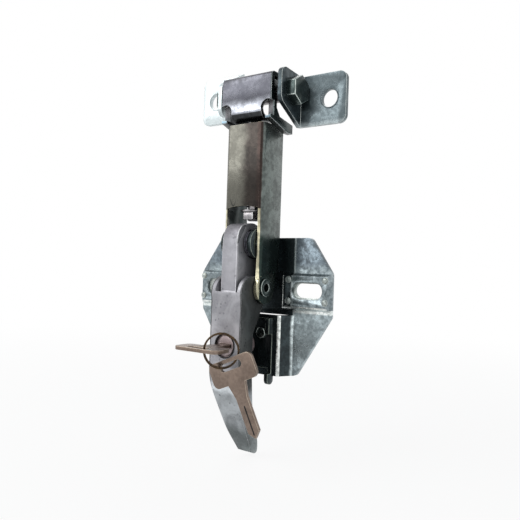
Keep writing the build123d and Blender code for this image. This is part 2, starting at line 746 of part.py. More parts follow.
# ---------------------------------------------------------------- lock
with BuildPart() as lock_barrel:
    barrel_rear = plug_rear - barrel_step
    with BuildSketch(Plane.XZ.offset(-barrel_rear)):
        with Locations((0, lock_z)):
            Circle(barrel_diameter / 2)
            Circle(plug_diameter / 2 + pin_play, mode=Mode.SUBTRACT)
    extrude(amount=barrel_rear - lock_face - barrel_step)
keep(lock_barrel, "lock_barrel")

with BuildPart() as lock_plug:
    with BuildSketch(Plane.XZ.offset(-plug_rear)):
        with Locations((0, lock_z)):
            Circle(plug_diameter / 2)
    extrude(amount=-lock_face + plug_rear)
    with BuildSketch(Plane.XZ.offset(-lock_face)):
        with Locations((0, lock_z)):
            Rectangle(keyway_width, keyway_height)
    extrude(amount=lock_face - plug_rear + 2, mode=Mode.SUBTRACT)
keep(lock_plug, "lock_plug")

cam_front = plug_rear + seat_gap
with BuildPart() as lock_cam:
    with BuildSketch(Plane.XZ.offset(-cam_front - cam_sheet)):
        with Locations((0, lock_z - cam_length / 2)):
            SlotOverall(cam_length + cam_width, cam_width, rotation=90)
        with Locations((0, lock_z)):
            Circle(cam_screw_diameter / 2 + hole_play, mode=Mode.SUBTRACT)
    extrude(amount=cam_sheet)
keep(lock_cam, "lock_cam")

with BuildPart() as cam_screw:
    with BuildSketch(Plane.XZ.offset(-cam_front - cam_sheet - 0.05 - 1.4)):
        with Locations((0, lock_z)):
            Circle(cam_screw_diameter * 0.85)
    extrude(amount=1.4)
    with BuildSketch(Plane.XZ.offset(-cam_front - cam_sheet - 0.05)):
        with Locations((0, lock_z)):
            Circle(cam_screw_diameter / 2)
    extrude(amount=cam_sheet + 0.04)
keep(cam_screw, "cam_screw")

# ---------------------------------------------------------------- keys
def key_profile():
    """Outline of a key lying flat: bow across X, blade along +Y, slot middle at the origin."""
    with BuildSketch() as outline:
        blade_side = bow_height - bow_slot_edge
        with BuildLine():
            Polyline(
                (-bow_width / 2, -bow_slot_edge),
                (bow_width / 2, -bow_slot_edge),
                (bow_width / 2, blade_side),
                (neck_width / 2, blade_side),
                (blade_width / 2, blade_side + 7),
                (blade_width / 2, blade_side + blade_length - 3),
                (0, blade_side + blade_length),
                (-blade_width / 2, blade_side + blade_length - 3),
                (-blade_width / 2, blade_side + 7),
                (-neck_width / 2, blade_side),
                (-bow_width / 2, blade_side),
                close=True,
            )
        make_face()
        fillet(vertices().filter_by(lambda corner: abs(corner.X) > neck_width), radius=3)
        SlotOverall(bow_slot_length, bow_slot_width, mode=Mode.SUBTRACT)
    return outline.sketch


key_slot_y = key_bow_y - bow_height + bow_slot_edge
with BuildPart() as lock_key:
    with BuildSketch(Plane.XY.offset(lock_z - key_sheet / 2)):
        with Locations((0, key_slot_y)):
            add(key_profile())
    extrude(amount=key_sheet)
    # the blade's far end stays inside the plug
    with BuildSketch(Plane.XY.offset(lock_z - key_sheet)):
        with Locations((0, plug_rear - 2.6)):
            Rectangle(30, 40, align=(Align.CENTER, Align.MIN))
    extrude(amount=2 * key_sheet, mode=Mode.SUBTRACT)
keep(lock_key, "lock_key")

# the ring stands on edge and passes through both bow slots
level = Vector(cos(radians(ring_turn)), sin(radians(ring_turn)), 0)
ring_normal = Vector(-sin(radians(ring_turn)), cos(radians(ring_turn)), 0)
ring_through = Vector(3.4, key_slot_y, lock_z)
ring_centre = ring_through + level * ring_radius
with BuildPart() as split_ring:
    coil_width = (ring_axial - 0.1) / 2
    for coil in (-1, 1):
        middle = ring_centre + ring_normal * (coil * (coil_width / 2 + 0.04))
        with BuildSketch(Plane(origin=middle, x_dir=level, z_dir=ring_normal)):
            Circle(ring_radius + ring_band / 2)
            Circle(ring_radius - ring_band / 2, mode=Mode.SUBTRACT)
        extrude(amount=coil_width / 2, both=True)
    with BuildSketch(Plane(origin=ring_centre, x_dir=level, z_dir=ring_normal)):
        with Locations((0, ring_radius)):
            Rectangle(3, ring_band * 0.8)
    extrude(amount=coil_width / 2, both=True)
keep(split_ring, "split_ring")

# the spare key hangs on the ring's lower right
place = radians(spare_place)
up = Vector(0, 0, 1)
radial = level * cos(place) + up * sin(place)
tangent = level * (-sin(place)) + up * cos(place)
lean = radians(spare_lean)
blade_way = radial * cos(lean) + ring_normal * sin(lean)
across = tangent.cross(blade_way).normalized()
twist = radians(spare_twist)
bow_way = tangent * cos(twist) + across * sin(twist)
spare_normal = bow_way.cross(blade_way)
slot_point = ring_centre + radial * ring_radius
slot_shift = 2.6
spare_plane = Plane(origin=slot_point + bow_way * slot_shift, x_dir=bow_way, z_dir=spare_normal)
with BuildPart() as spare_key:
    with BuildSketch(spare_plane):
        add(key_profile())
    extrude(amount=key_sheet / 2, both=True)
keep(spare_key, "spare_key")

for piece in made:
    export_step(piece, f"parts/{piece.label}.step")
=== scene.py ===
"""Looks of an over-centre draw latch with a locking lever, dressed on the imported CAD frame."""
import logging
import math
from dataclasses import dataclass
from enum import Enum
from typing import Callable, Sequence

import bmesh
import bpy
from mathutils import Matrix, Vector


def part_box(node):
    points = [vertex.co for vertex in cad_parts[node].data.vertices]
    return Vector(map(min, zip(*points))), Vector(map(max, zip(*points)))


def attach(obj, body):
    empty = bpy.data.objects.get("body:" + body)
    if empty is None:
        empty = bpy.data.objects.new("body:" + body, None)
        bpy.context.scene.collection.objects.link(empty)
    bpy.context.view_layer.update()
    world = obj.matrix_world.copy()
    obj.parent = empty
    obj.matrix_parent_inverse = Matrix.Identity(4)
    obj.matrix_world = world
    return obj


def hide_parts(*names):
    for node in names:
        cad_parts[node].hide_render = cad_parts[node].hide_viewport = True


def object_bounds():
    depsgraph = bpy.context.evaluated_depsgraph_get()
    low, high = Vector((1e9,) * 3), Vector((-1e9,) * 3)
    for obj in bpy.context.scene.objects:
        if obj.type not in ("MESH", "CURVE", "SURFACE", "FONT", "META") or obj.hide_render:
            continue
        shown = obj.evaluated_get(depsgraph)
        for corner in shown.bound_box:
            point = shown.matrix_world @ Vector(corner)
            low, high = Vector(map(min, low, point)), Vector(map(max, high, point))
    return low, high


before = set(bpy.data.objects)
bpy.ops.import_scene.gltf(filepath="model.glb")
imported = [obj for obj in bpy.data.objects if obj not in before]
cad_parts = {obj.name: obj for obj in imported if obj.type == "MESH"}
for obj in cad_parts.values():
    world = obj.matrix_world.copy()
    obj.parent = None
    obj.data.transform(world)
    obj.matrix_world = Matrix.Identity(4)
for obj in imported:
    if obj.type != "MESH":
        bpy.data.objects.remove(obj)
CAD_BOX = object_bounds()
LOG = logging.getLogger("draw_latch")
MM = 0.001
Socket, Tree, Solid = bpy.types.NodeSocket, bpy.types.NodeTree, bmesh.types.BMesh
Outline = tuple[tuple[float, float], ...]


class Body(Enum):
    """Moving bodies of the frame."""

    BASE = "base"
    HANDLE = "handle"
    ARM = "arm"
    LOCK = "lock"
    RING = "ring"
    SPARE = "spare"


class Along(Enum):
    """Direction along which painted light and shade take over."""

    X = "X"
    Y = "Y"
    Z = "Z"
    OFF_MIDDLE = "distance from the middle plane"


def linear(code: str) -> tuple[float, float, float, float]:
    """Turn a hex colour into linear light.

    Args:
        code: Six hex digits, such as "a0b0c0".

    Returns:
        Red, green, blue and an alpha of 1.
    """
    parts = [int(code[i:i + 2], 16) / 255 for i in (0, 2, 4)]
    light = [p / 12.92 if p <= 0.04045 else ((p + 0.055) / 1.055) ** 2.4 for p in parts]
    return light[0], light[1], light[2], 1.0


class Wiring:
    """Adds and joins the nodes of one tree."""

    def __init__(self, tree: Tree) -> None:
        """Keep the tree."""
        self.tree = tree

    def add(self, kind: str, **settings: object) -> bpy.types.Node:
        """Add a node.

        Args:
            kind: The node's type name.
            settings: Properties to set on it.

        Returns:
            The new node.
        """
        node = self.tree.nodes.new(kind)
        for key, value in settings.items():
            setattr(node, key, value)
        return node

    def join(self, source: Socket, target: Socket) -> None:
        """Link two sockets."""
        self.tree.links.new(source, target)

    def feed(self, socket: Socket, value: object) -> None:
        """Give a socket a link or a plain value.

        Args:
            socket: The input to feed.
            value: Another socket, or a number or colour.
        """
        if isinstance(value, Socket):
            self.join(value, socket)
        else:
            socket.default_value = value

    def sum(self, operation: str, first: object, second: object = 0.0, clamp: bool = False) -> Socket:
        """Add a Math node.

        Args:
            operation: Its operation.
            first: First value or socket.
            second: Second value or socket.
            clamp: Whether the result is held within 0 and 1.

        Returns:
            The result's socket.
        """
        node = self.add("ShaderNodeMath", operation=operation, use_clamp=clamp)
        self.feed(node.inputs[0], first)
        self.feed(node.inputs[1], second)
        return node.outputs[0]

    def spread(self, value: object, low: object, high: object, to_low: object = 0.0,
               to_high: object = 1.0) -> Socket:
        """Map a value smoothly from one range to another.

        Args:
            value: The value's socket.
            low: Where the first range starts.
            high: Where it ends.
            to_low: Result at its start.
            to_high: Result at its end.

        Returns:
            The result's socket.
        """
        node = self.add("ShaderNodeMapRange", interpolation_type="SMOOTHSTEP")
        for index, given in enumerate((value, low, high, to_low, to_high)):
            self.feed(node.inputs[index], given)
        return node.outputs[0]

    def blend(self, factor: object, first: object, second: object, mode: str = "MIX") -> Socket:
        """Mix two colours.

        Args:
            factor: Share of the second colour.
            first: First colour or socket.
            second: Second colour or socket.
            mode: How they are mixed.

        Returns:
            The mixed colour's socket.
        """
        node = self.add("ShaderNodeMix", data_type="RGBA", blend_type=mode)
        self.feed(node.inputs[0], factor)
        self.feed(node.inputs[6], first)
        self.feed(node.inputs[7], second)
        return node.outputs[2]

    def noise(self, vector: object, scale: object, detail: float = 2.0, warp: float = 0.0) -> Socket:
        """Add a noise texture.

        Args:
            vector: Coordinates.
            scale: Its scale.
            detail: Its detail.
            warp: Its distortion.

        Returns:
            The grey value's socket.
        """
        node = self.add("ShaderNodeTexNoise")
        self.join(vector, node.inputs["Vector"])
        self.feed(node.inputs["Scale"], scale)
        node.inputs["Detail"].default_value = detail
        node.inputs["Distortion"].default_value = warp
        return node.outputs[0]

    def mix(self, share: Socket, first: Socket, second: Socket) -> Socket:
        """Mix two shaders and return the result's socket."""
        node = self.add("ShaderNodeMixShader")
        for source, target in zip((share, first, second), node.inputs):
            self.join(source, target)
        return node.outputs[0]

    def cells(self, vector: object, scale: object) -> bpy.types.Node:
        """Add a Voronoi texture and return its node."""
        node = self.add("ShaderNodeTexVoronoi")
        self.join(vector, node.inputs["Vector"])
        self.feed(node.inputs["Scale"], scale)
        return node


def fresh_wiring(owner: bpy.types.ID) -> Wiring:
    """Empty the node tree of a material or world and return its wiring."""
    owner.use_nodes = True
    owner.node_tree.nodes.clear()
    return Wiring(owner.node_tree)


def add_object(name: str, data: bpy.types.ID) -> bpy.types.Object:
    """Make an object of some data, link it to the scene and return it."""
    made = bpy.data.objects.new(name, data)
    bpy.context.scene.collection.objects.link(made)
    return made


def open_group(name: str, inputs: Sequence[tuple[str, str]], outputs: Sequence[tuple[str, str]],
               kind: str = "ShaderNodeTree") -> tuple[Tree, Wiring, bpy.types.Node, bpy.types.Node]:
    """Start a node group with named sockets.

    Args:
        name: The group's name.
        inputs: Name and type of each input.
        outputs: Name and type of each output.
        kind: The tree's type.

    Returns:
        The tree, its wiring, and its input and output nodes.
    """
    tree = bpy.data.node_groups.new(name, kind)
    for label, socket in inputs:
        tree.interface.new_socket(name=label, in_out="INPUT", socket_type=socket)
    for label, socket in outputs:
        tree.interface.new_socket(name=label, in_out="OUTPUT", socket_type=socket)
    wires = Wiring(tree)
    return tree, wires, wires.add("NodeGroupInput"), wires.add("NodeGroupOutput")


FLOAT, COLOUR, VECTOR = "NodeSocketFloat", "NodeSocketColor", "NodeSocketVector"
GEOMETRY, ROTATION = "NodeSocketGeometry", "NodeSocketRotation"
SKIN_INPUTS = (("Vector", VECTOR), ("Light", COLOUR), ("Shade", COLOUR), ("Patch", FLOAT),
               ("Grain", FLOAT), ("Smooth", FLOAT), ("Haze", FLOAT))
SKIN_OUTPUTS = (("Colour", COLOUR), ("Roughness", FLOAT), ("Height", FLOAT), ("Tone", FLOAT))


def plating_skin() -> Tree:
    """Build the skin of bright zinc plating: cloudy patches over a fine crystal spangle."""
    tree, w, given, result = open_group(PLATING, SKIN_INPUTS, SKIN_OUTPUTS)
    vector = given.outputs["Vector"]
    cloud = w.spread(w.noise(vector, given.outputs["Patch"], 5.0, 0.6), 0.36, 0.64)
    spangle = w.cells(vector, given.outputs["Grain"]).outputs["Color"]
    fleck = w.spread(w.noise(vector, w.sum("MULTIPLY", given.outputs["Grain"], 0.45), 3.0), 0.3, 0.7)
    tone = w.sum("ADD", w.sum("MULTIPLY", cloud, 0.40),
                 w.sum("ADD", w.sum("MULTIPLY", spangle, 0.22), w.sum("MULTIPLY", fleck, 0.38)), True)
    w.join(tone, result.inputs["Tone"])
    w.join(w.blend(tone, given.outputs["Shade"], given.outputs["Light"]), result.inputs["Colour"])
    w.join(w.spread(tone, 0.1, 0.9, given.outputs["Haze"], given.outputs["Smooth"]),
           result.inputs["Roughness"])
    w.join(w.sum("ADD", w.sum("MULTIPLY", spangle, 0.3), w.sum("MULTIPLY", fleck, 0.7)),
           result.inputs["Height"])
    return tree


def casting_skin() -> Tree:
    """Build the skin of a tumbled die casting: soft clouds, dark specks and small pits."""
    tree, w, given, result = open_group(CASTING, SKIN_INPUTS, SKIN_OUTPUTS)
    vector = given.outputs["Vector"]
    cloud = w.spread(w.noise(vector, given.outputs["Patch"], 5.0, 0.9), 0.34, 0.68)
    rough = w.noise(vector, given.outputs["Grain"], 5.0)
    where = w.spread(w.noise(vector, w.sum("MULTIPLY", given.outputs["Patch"], 2.2), 2.0), 0.44, 0.62)
    spots = w.cells(vector, w.sum("MULTIPLY", given.outputs["Grain"], 0.5)).outputs["Distance"]
    pits = w.sum("MULTIPLY", w.spread(spots, 0.16, 0.30, 1.0, 0.0), where)
    tone = w.sum("SUBTRACT", w.sum("ADD", w.sum("MULTIPLY", cloud, 0.6), w.sum("MULTIPLY", rough, 0.4)),
                 w.sum("MULTIPLY", pits, 0.7), True)
    w.join(tone, result.inputs["Tone"])
    w.join(w.blend(tone, given.outputs["Shade"], given.outputs["Light"]), result.inputs["Colour"])
    w.join(w.spread(tone, 0.0, 1.0, given.outputs["Haze"], given.outputs["Smooth"]),
           result.inputs["Roughness"])
    w.join(w.sum("SUBTRACT", w.sum("MULTIPLY", rough, 0.5), w.sum("MULTIPLY", pits, 1.6)),
           result.inputs["Height"])
    return tree


def scuff_marks() -> Tree:
    """Build a mask of thin handling scratches in a few places."""
    tree, w, given, result = open_group(SCUFFS, (("Vector", VECTOR), ("Scale", FLOAT)),
                                        (("Mask", FLOAT),))
    turn = w.add("ShaderNodeMapping")
    w.join(given.outputs["Vector"], turn.inputs["Vector"])
    turn.inputs["Rotation"].default_value = (0.4, 0.7, 0.5)
    turn.inputs["Scale"].default_value = (1.0, 0.6, 0.22)
    line = w.noise(turn.outputs[0], given.outputs["Scale"], 1.0, 1.4)
    off = w.sum("ABSOLUTE", w.sum("SUBTRACT", line, 0.5))
    cloud = w.noise(given.outputs["Vector"], w.sum("MULTIPLY", given.outputs["Scale"], 0.7))
    place = w.spread(cloud, 0.54, 0.66)
    w.join(w.sum("MULTIPLY", w.spread(off, 0.003, 0.010, 1.0, 0.0), place), result.inputs["Mask"])
    return tree


PLATING, CASTING, SCUFFS, WEAR_AND_SHEEN = "plating_skin", "casting_skin", "scuff_marks", "wear_and_sheen"
SCRATCH_COLOUR = "2b2d2c"
DRIFT_SCALE, SCUFF_SCALE, WEAR_AND_SHEEN_SCALE = 140.0, 70.0, 420.0
COAT_ROUGHNESS, BUMP_STRENGTH = 0.18, 0.45
BELOW_BLUR = 0.3 * MM


@dataclass(frozen=True)
class PaintedLightFade:
    """Painted light and shade: a second tone that takes over along one direction, standing in for
    highlights, reflections and shade.

    Attributes:
        along: The direction.
        start: Where it starts, in metres.
        end: Where it has taken over, in metres.
        colour: Its hex colour.
        strength: Its share at the end.
        below: Height under which it shows, in metres, 1 for everywhere.
    """

    along: Along
    start: float
    end: float
    colour: str
    strength: float = 1.0
    below: float = 1.0


@dataclass(frozen=True)
class Finish:
    """One finish of the latch, built as a material on first use.

    Attributes:
        name: What its material is called.
        skin: The shared skin group, PLATING or CASTING.
        light: Hex colour of the lighter clouds.
        shade: Hex colour of the darker clouds.
        edge: Hex colour of the rounded edges, partly edge wear and partly a painted highlight along edges
            and folds.
        smooth: Roughness of the lighter clouds.
        haze: Roughness of the darker clouds.
        metal: Metallic share.
        patch: Scale of the clouds, per metre.
        grain: Scale of the fine grain, per metre.
        bump: Height of the grain, in metres.
        scuff: Strength of the scratches.
        painted_light_fades: Painted highlights, reflections and shade that take over along a direction.
        coat: Weight of the clear passivation film.
    """

    name: str
    skin: str
    light: str
    shade: str
    edge: str
    smooth: float = 0.22
    haze: float = 0.42
    metal: float = 0.9
    patch: float = 90.0
    grain: float = 1100.0
    bump: float = 0.00003
    scuff: float = 0.35
    painted_light_fades: tuple[PaintedLightFade, ...] = ()
    coat: float = 0.15

    def material(self) -> bpy.types.Material:
        """Make the material, or return the one made before."""
        made = bpy.data.materials.get(f"finish_{self.name}")
        if made:
            return made
        made = bpy.data.materials.new(f"finish_{self.name}")
        w = fresh_wiring(made)
        place = w.add("ShaderNodeTexCoord").outputs["Object"]
        skin = w.add("ShaderNodeGroup", node_tree=bpy.data.node_groups[self.skin])
        w.join(place, skin.inputs["Vector"])
        for label, value in (("Light", linear(self.light)), ("Shade", linear(self.shade)),
                             ("Patch", self.patch), ("Grain", self.grain),
                             ("Smooth", self.smooth), ("Haze", self.haze)):
            skin.inputs[label].default_value = value
        colour = skin.outputs["Colour"]
        drift = w.noise(place, DRIFT_SCALE, 3.0)
        # Painted highlights, reflections and shade, laid over the skin by position.
        for fade in self.painted_light_fades:
            colour = self._paint_light_fade(w, place, colour, drift, skin.outputs["Tone"], fade)
        scuffs = w.add("ShaderNodeGroup", node_tree=bpy.data.node_groups[SCUFFS])
        w.join(place, scuffs.inputs["Vector"])
        scuffs.inputs["Scale"].default_value = SCUFF_SCALE
        mark = w.sum("MULTIPLY", scuffs.outputs["Mask"], self.scuff)
        colour = w.blend(mark, colour, linear(SCRATCH_COLOUR))
        # Rounded edges and folds take the edge colour: partly edge wear, partly a painted highlight.
        wear_and_sheen = w.add("ShaderNodeAttribute", attribute_name=WEAR_AND_SHEEN).outputs["Fac"]
        wear_and_sheen_share = w.sum("MULTIPLY", wear_and_sheen, w.spread(w.noise(place, WEAR_AND_SHEEN_SCALE, 3.0), 0.3, 0.62, 0.45, 1.0))
        colour = w.blend(wear_and_sheen_share, colour, linear(self.edge))
        shader = w.add("ShaderNodeBsdfPrincipled")
        w.join(colour, shader.inputs["Base Color"])
        w.join(w.sum("ADD", w.sum("SUBTRACT", skin.outputs["Roughness"], w.sum("MULTIPLY", wear_and_sheen_share, 0.06)),
                     w.sum("MULTIPLY", mark, 0.2), True), shader.inputs["Roughness"])
        shader.inputs["Metallic"].default_value = self.metal
        shader.inputs["Coat Weight"].default_value = self.coat
        shader.inputs["Coat Roughness"].default_value = COAT_ROUGHNESS
        bump = w.add("ShaderNodeBump")
        bump.inputs["Strength"].default_value = BUMP_STRENGTH
        bump.inputs["Distance"].default_value = self.bump
        w.join(w.sum("SUBTRACT", skin.outputs["Height"], w.sum("MULTIPLY", mark, 1.4)),
               bump.inputs["Height"])
        w.join(bump.outputs[0], shader.inputs["Normal"])
        w.join(shader.outputs[0], w.add("ShaderNodeOutputMaterial").inputs[0])
        return made

    @staticmethod
    def _paint_light_fade(w: Wiring, place: Socket, colour: Socket,
               drift: Socket, tone: Socket, fade: PaintedLightFade) -> Socket:
        """Lay one tone of painted light and shade over a colour.

        Args:
            w: The material's wiring.
            place: Object coordinates.
            colour: The colour so far.
            drift: Noise that makes the fade's edge uneven.
            tone: The skin's own light and dark.
            fade: The painted light and shade.

        Returns:
            The new colour's socket.
        """
        split = w.add("ShaderNodeSeparateXYZ")
        w.join(place, split.inputs[0])
        if fade.along is Along.OFF_MIDDLE:
            value = w.sum("ABSOLUTE", split.outputs[0])
        else:
            value = split.outputs[fade.along.value]
        shake = w.sum("MULTIPLY", w.sum("SUBTRACT", drift, 0.5), abs(fade.end - fade.start))
        shaken = w.sum("ADD", value, shake)
        low, high = min(fade.start, fade.end), max(fade.start, fade.end)
        ends = (0.0, fade.strength) if fade.end > fade.start else (fade.strength, 0.0)
        share = w.spread(shaken, low, high, ends[0], ends[1])
        if fade.below < 1.0:
            under = w.spread(split.outputs[2], fade.below - BELOW_BLUR, fade.below + BELOW_BLUR, 1.0, 0.0)
            share = w.sum("MULTIPLY", share, under)
        # Colour of the painted light and shade, varied by the skin's own clouds.
        painted_tone = w.blend(1.0, linear(fade.colour), w.spread(tone, 0.1, 0.9, 0.62, 1.28), "MULTIPLY")
        return w.blend(share, colour, painted_tone)


# Painted light and shade on the base: painted shade above z 9 mm and within 19 mm of the middle, beside
# the arm and on the hat; painted highlights on the pads' lower slope and along the hat's ridges; a
# lighter grey below z -11.8 mm.
BASE_ZINC = Finish(
    "base_zinc", PLATING, "aab6ba", "4b565b", "eef3f0", 0.24, 0.42, 0.86, 190.0, 1500.0, painted_light_fades=(
        PaintedLightFade(Along.Z, 0.0090, 0.0150, "59646c", 0.9),
        PaintedLightFade(Along.Z, -0.0090, -0.0096, "eef5f3", 0.9),
        PaintedLightFade(Along.Z, -0.0112, -0.0118, "9aa8ad", 0.92),
        PaintedLightFade(Along.OFF_MIDDLE, 0.0207, 0.0201, "c9d3d4", 0.7),
        PaintedLightFade(Along.OFF_MIDDLE, 0.0197, 0.0190, "1c282c", 0.96)))
PLATE_ZINC = Finish("plate_zinc", PLATING, "bcc3c0", "747d7b", "e4e4d6", 0.25, 0.42, 0.8, 200.0)
BRACKET_ZINC = Finish("bracket_zinc", PLATING, "3a4446", "171d1f", "8d968c", 0.25, 0.42, 0.85)
# Painted light and shade on the right keeper bracket: painted shade, darker towards its left from x 30 mm
# to 21.5 mm, and a painted highlight along its lower edge, below z 85 mm.
KEEPER_ZINC = Finish(
    "keeper_zinc", PLATING, "6d787c", "465155", "e6eeeb", 0.26, 0.40, 0.84, 140.0, 1200.0, painted_light_fades=(
        PaintedLightFade(Along.X, 0.0300, 0.0215, "333e42", 0.85),
        PaintedLightFade(Along.Z, 0.0872, 0.0846, "b4bfc2", 0.6)))
# Left keeper bracket: a near-white lit copy of the keeper finish, a painted reflection of the bright
# light, with darker rounded edges.
PAINTED_GLARE_KEEPER_ZINC = Finish(
    "keeper_zinc_painted_glare", PLATING, "dbe4e5", "bcc6c8", "8f9a9c", 0.28, 0.40, 0.6, 120.0, 900.0)
# Painted light and shade on the arm: a dark painted reflection across the web right of x -4 mm, a darker
# right side, painted shade on the faces behind the web's front and below z 25-29 mm, a mid grey more than
# 11 mm from the middle, and a bright yellowish painted reflection on the web's front below z 40.5 mm.
ARM_ZINC = Finish(
    "arm_zinc", PLATING, "6f6e66", "57564f", "e9e4c4", 0.22, 0.36, 0.88, 90.0, 1200.0, scuff=0.8,
    painted_light_fades=(
        PaintedLightFade(Along.X, -0.0042, 0.0034, "2b2522", 0.94),
        PaintedLightFade(Along.X, 0.0070, 0.0092, "33231f", 0.5),
        PaintedLightFade(Along.Y, -0.0213, -0.0208, "1b2728", 0.95),
        PaintedLightFade(Along.OFF_MIDDLE, 0.0108, 0.0114, "626a67", 0.96),
        PaintedLightFade(Along.Z, 0.0290, 0.0250, "1f302c", 0.93),
        PaintedLightFade(Along.Y, -0.0222, -0.0227, "d9d3b4", 0.92, 0.0405)))
# Painted light and shade on the hook head: a painted highlight band on the roll below z 92.5 mm, a
# blue-teal painted reflection on its underside below z 88.6 mm, and painted shade behind the front plate
# and on the right side past x 15 mm. The plate's colour returns above z 106 mm.
HOOK_ZINC = Finish(
    "hook_zinc", PLATING, "5f6067", "505159", "e6edf0", 0.22, 0.34, 0.88, 90.0, 1100.0, painted_light_fades=(
        PaintedLightFade(Along.Z, 0.0975, 0.0925, "c6cad4", 0.9),
        PaintedLightFade(Along.Z, 0.0900, 0.0886, "3f6472", 0.8),
        PaintedLightFade(Along.Y, -0.02285, -0.0227, "292726", 0.93),
        PaintedLightFade(Along.Z, 0.1050, 0.1062, "5f6067", 0.95),
        PaintedLightFade(Along.X, 0.0146, 0.0153, "2b3837", 0.92)))
FASTENER_ZINC = Finish(
    "fastener_zinc", PLATING, "4a5553", "253030", "c3cdc8", 0.22, 0.36, 0.9, 150.0, 1200.0)
BRIGHT_FASTENER = Finish(
    "fastener_zinc_bright", PLATING, "b9b4b5", "77777a", "f1f1f0", 0.22, 0.34, 0.85)
SPRING_STEEL = Finish(
    "spring_steel", PLATING, "5a5a63", "18181d", "b9b9c2", 0.14, 0.26, 0.95, 200.0, 1500.0)
# Painted light and shade on the lever: a bright painted highlight low on the front, below z -43 to -52
# mm, turning darker grey towards the tip below z -70 mm; painted shade on faces behind the front and on
# both sides.
CAST_LEVER = Finish(
    "cast_lever", CASTING, "c2c1c6", "8b8b90", "e2e3e5", 0.36, 0.58, 0.55, 75.0, 900.0, 0.00008,
    scuff=0.2, coat=0.0, painted_light_fades=(
        PaintedLightFade(Along.Z, -0.0430, -0.0520, "dfe6ea", 0.85),
        PaintedLightFade(Along.Z, -0.0660, -0.0740, "86918f", 0.85),
        PaintedLightFade(Along.Y, -0.0318, -0.0305, "55575a", 0.55),
        PaintedLightFade(Along.OFF_MIDDLE, 0.0084, 0.0092, "3b3e3d", 0.94)))
# Painted shade on the tongue's nose: darker above z 24-29 mm and on its sides.
TONGUE_CAST = Finish(
    "cast_lever_nose", CASTING, "b9b8be", "8b8b90", "dfe0e2", 0.36, 0.58, 0.55, 75.0, 900.0,
    0.00008, scuff=0.2, coat=0.0, painted_light_fades=(
        PaintedLightFade(Along.Z, 0.0240, 0.0290, "77747a", 0.6),
        PaintedLightFade(Along.OFF_MIDDLE, 0.0040, 0.0045, "55575a", 0.8)))
# Near-black painted shade: the gap round the lock and the floor of the key's blade groove.
PAINTED_SHADE_BLACK = Finish("lock_dark", CASTING, "1c1c1e", "0c0c0d", "2c2c2e", 0.3, 0.5, 0.4, coat=0.0)
LOCK_FACE = Finish(
    "lock_face", CASTING, "b3a3a3", "8d7f80", "c9bcbc", 0.3, 0.46, 0.6, 160.0, 1400.0, coat=0.0)
KEY_NICKEL = Finish(
    "key_nickel", PLATING, "8d7c70", "6f6056", "b5a898", 0.28, 0.42, 0.8, 90.0, 1500.0, scuff=0.6)
RING_BRONZE = Finish(
    "ring_bronze", PLATING, "54422e", "1d1711", "a58a5c", 0.18, 0.34, 0.95, 160.0, 1500.0)


@dataclass(frozen=True)
class Softened:
    """Edges of a piece to round.

    Attributes:
        width: The rounding's width, in metres.
        steps: Its segments.
        chosen: Says of an edge's middle and direction whether it is one of them.
    """

    width: float
    steps: int
    chosen: Callable[[Vector, Vector], bool]


def everywhere(middle: Vector, way: Vector) -> bool:
    """Choose every edge."""
    return True


def round_edges(bm: Solid, rounding: Softened, lowest: float) -> None:
    """Round the sharp edges that a rounding chooses, and mark the new faces for edge wear and painted
    highlight.

    Args:
        bm: The piece's mesh.
        rounding: Which edges and how wide.
        lowest: Smallest angle between the faces of an edge, in degrees.
    """
    wear_and_sheen = bm.faces.layers.float.get(WEAR_AND_SHEEN) or bm.faces.layers.float.new(WEAR_AND_SHEEN)
    edges = []
    for edge in bm.edges:
        if len(edge.link_faces) != 2 or edge.calc_face_angle(0.0) < math.radians(lowest):
            continue
        middle = (edge.verts[0].co + edge.verts[1].co) / 2
        way = (edge.verts[1].co - edge.verts[0].co).normalized()
        if rounding.chosen(middle, way):
            edges.append(edge)
    if not edges:
        return
    done = bmesh.ops.bevel(bm, geom=edges, offset=rounding.width, segments=rounding.steps, profile=0.5,
                           affect="EDGES", clamp_overlap=True, offset_type="OFFSET")
    for face in done["faces"]:
        face[wear_and_sheen] = 1.0


FLAT_ANGLE, FOLD_ANGLE, SHARP_ANGLE, SHADE_ANGLE = 0.6, 15.0, 40.0, 34.0
MERGE_CAD, MERGE_GROWN = 1e-6, 1e-7


@dataclass
class Part:
    """One visible piece that stands for a CAD node.

    Attributes:
        node: The CAD node.
        body: The body it moves with.
        slot: The record's material slot, not used.
        finish: Its finish.
        bends: Wide roundings of its folds.
        edge: Width of the small rounding of its other sharp edges, 0 for none.
        sharp: Angle above which an edge stays sharp in shading, in degrees.
        slim: How far every face is drawn in, in metres.
    """

    node: str
    body: Body
    slot: str
    finish: Finish
    bends: tuple[Softened, ...] = ()
    edge: float = 0.18 * MM
    sharp: float = SHADE_ANGLE
    slim: float = 0.0

    def build(self) -> bpy.types.Object:
        """Make the finished copy of the node and hand it to the frame.

        Returns:
            The new object.
        """
        bm = bmesh.new()
        bm.from_mesh(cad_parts[self.node].data)
        bmesh.ops.remove_doubles(bm, verts=bm.verts, dist=MERGE_CAD)
        bmesh.ops.dissolve_limit(bm, angle_limit=math.radians(FLAT_ANGLE), verts=bm.verts, edges=bm.edges)
        if self.slim:
            bm.normal_update()
            for vert in bm.verts:
                vert.co -= vert.normal * self.slim
        for bend in self.bends:
            round_edges(bm, bend, FOLD_ANGLE)
        if self.edge:
            round_edges(bm, Softened(self.edge, 2, everywhere), SHARP_ANGLE)
        return place_piece(f"{self.node}_finished", bm, self.body, self.finish,
                           (self.node,), self.sharp)


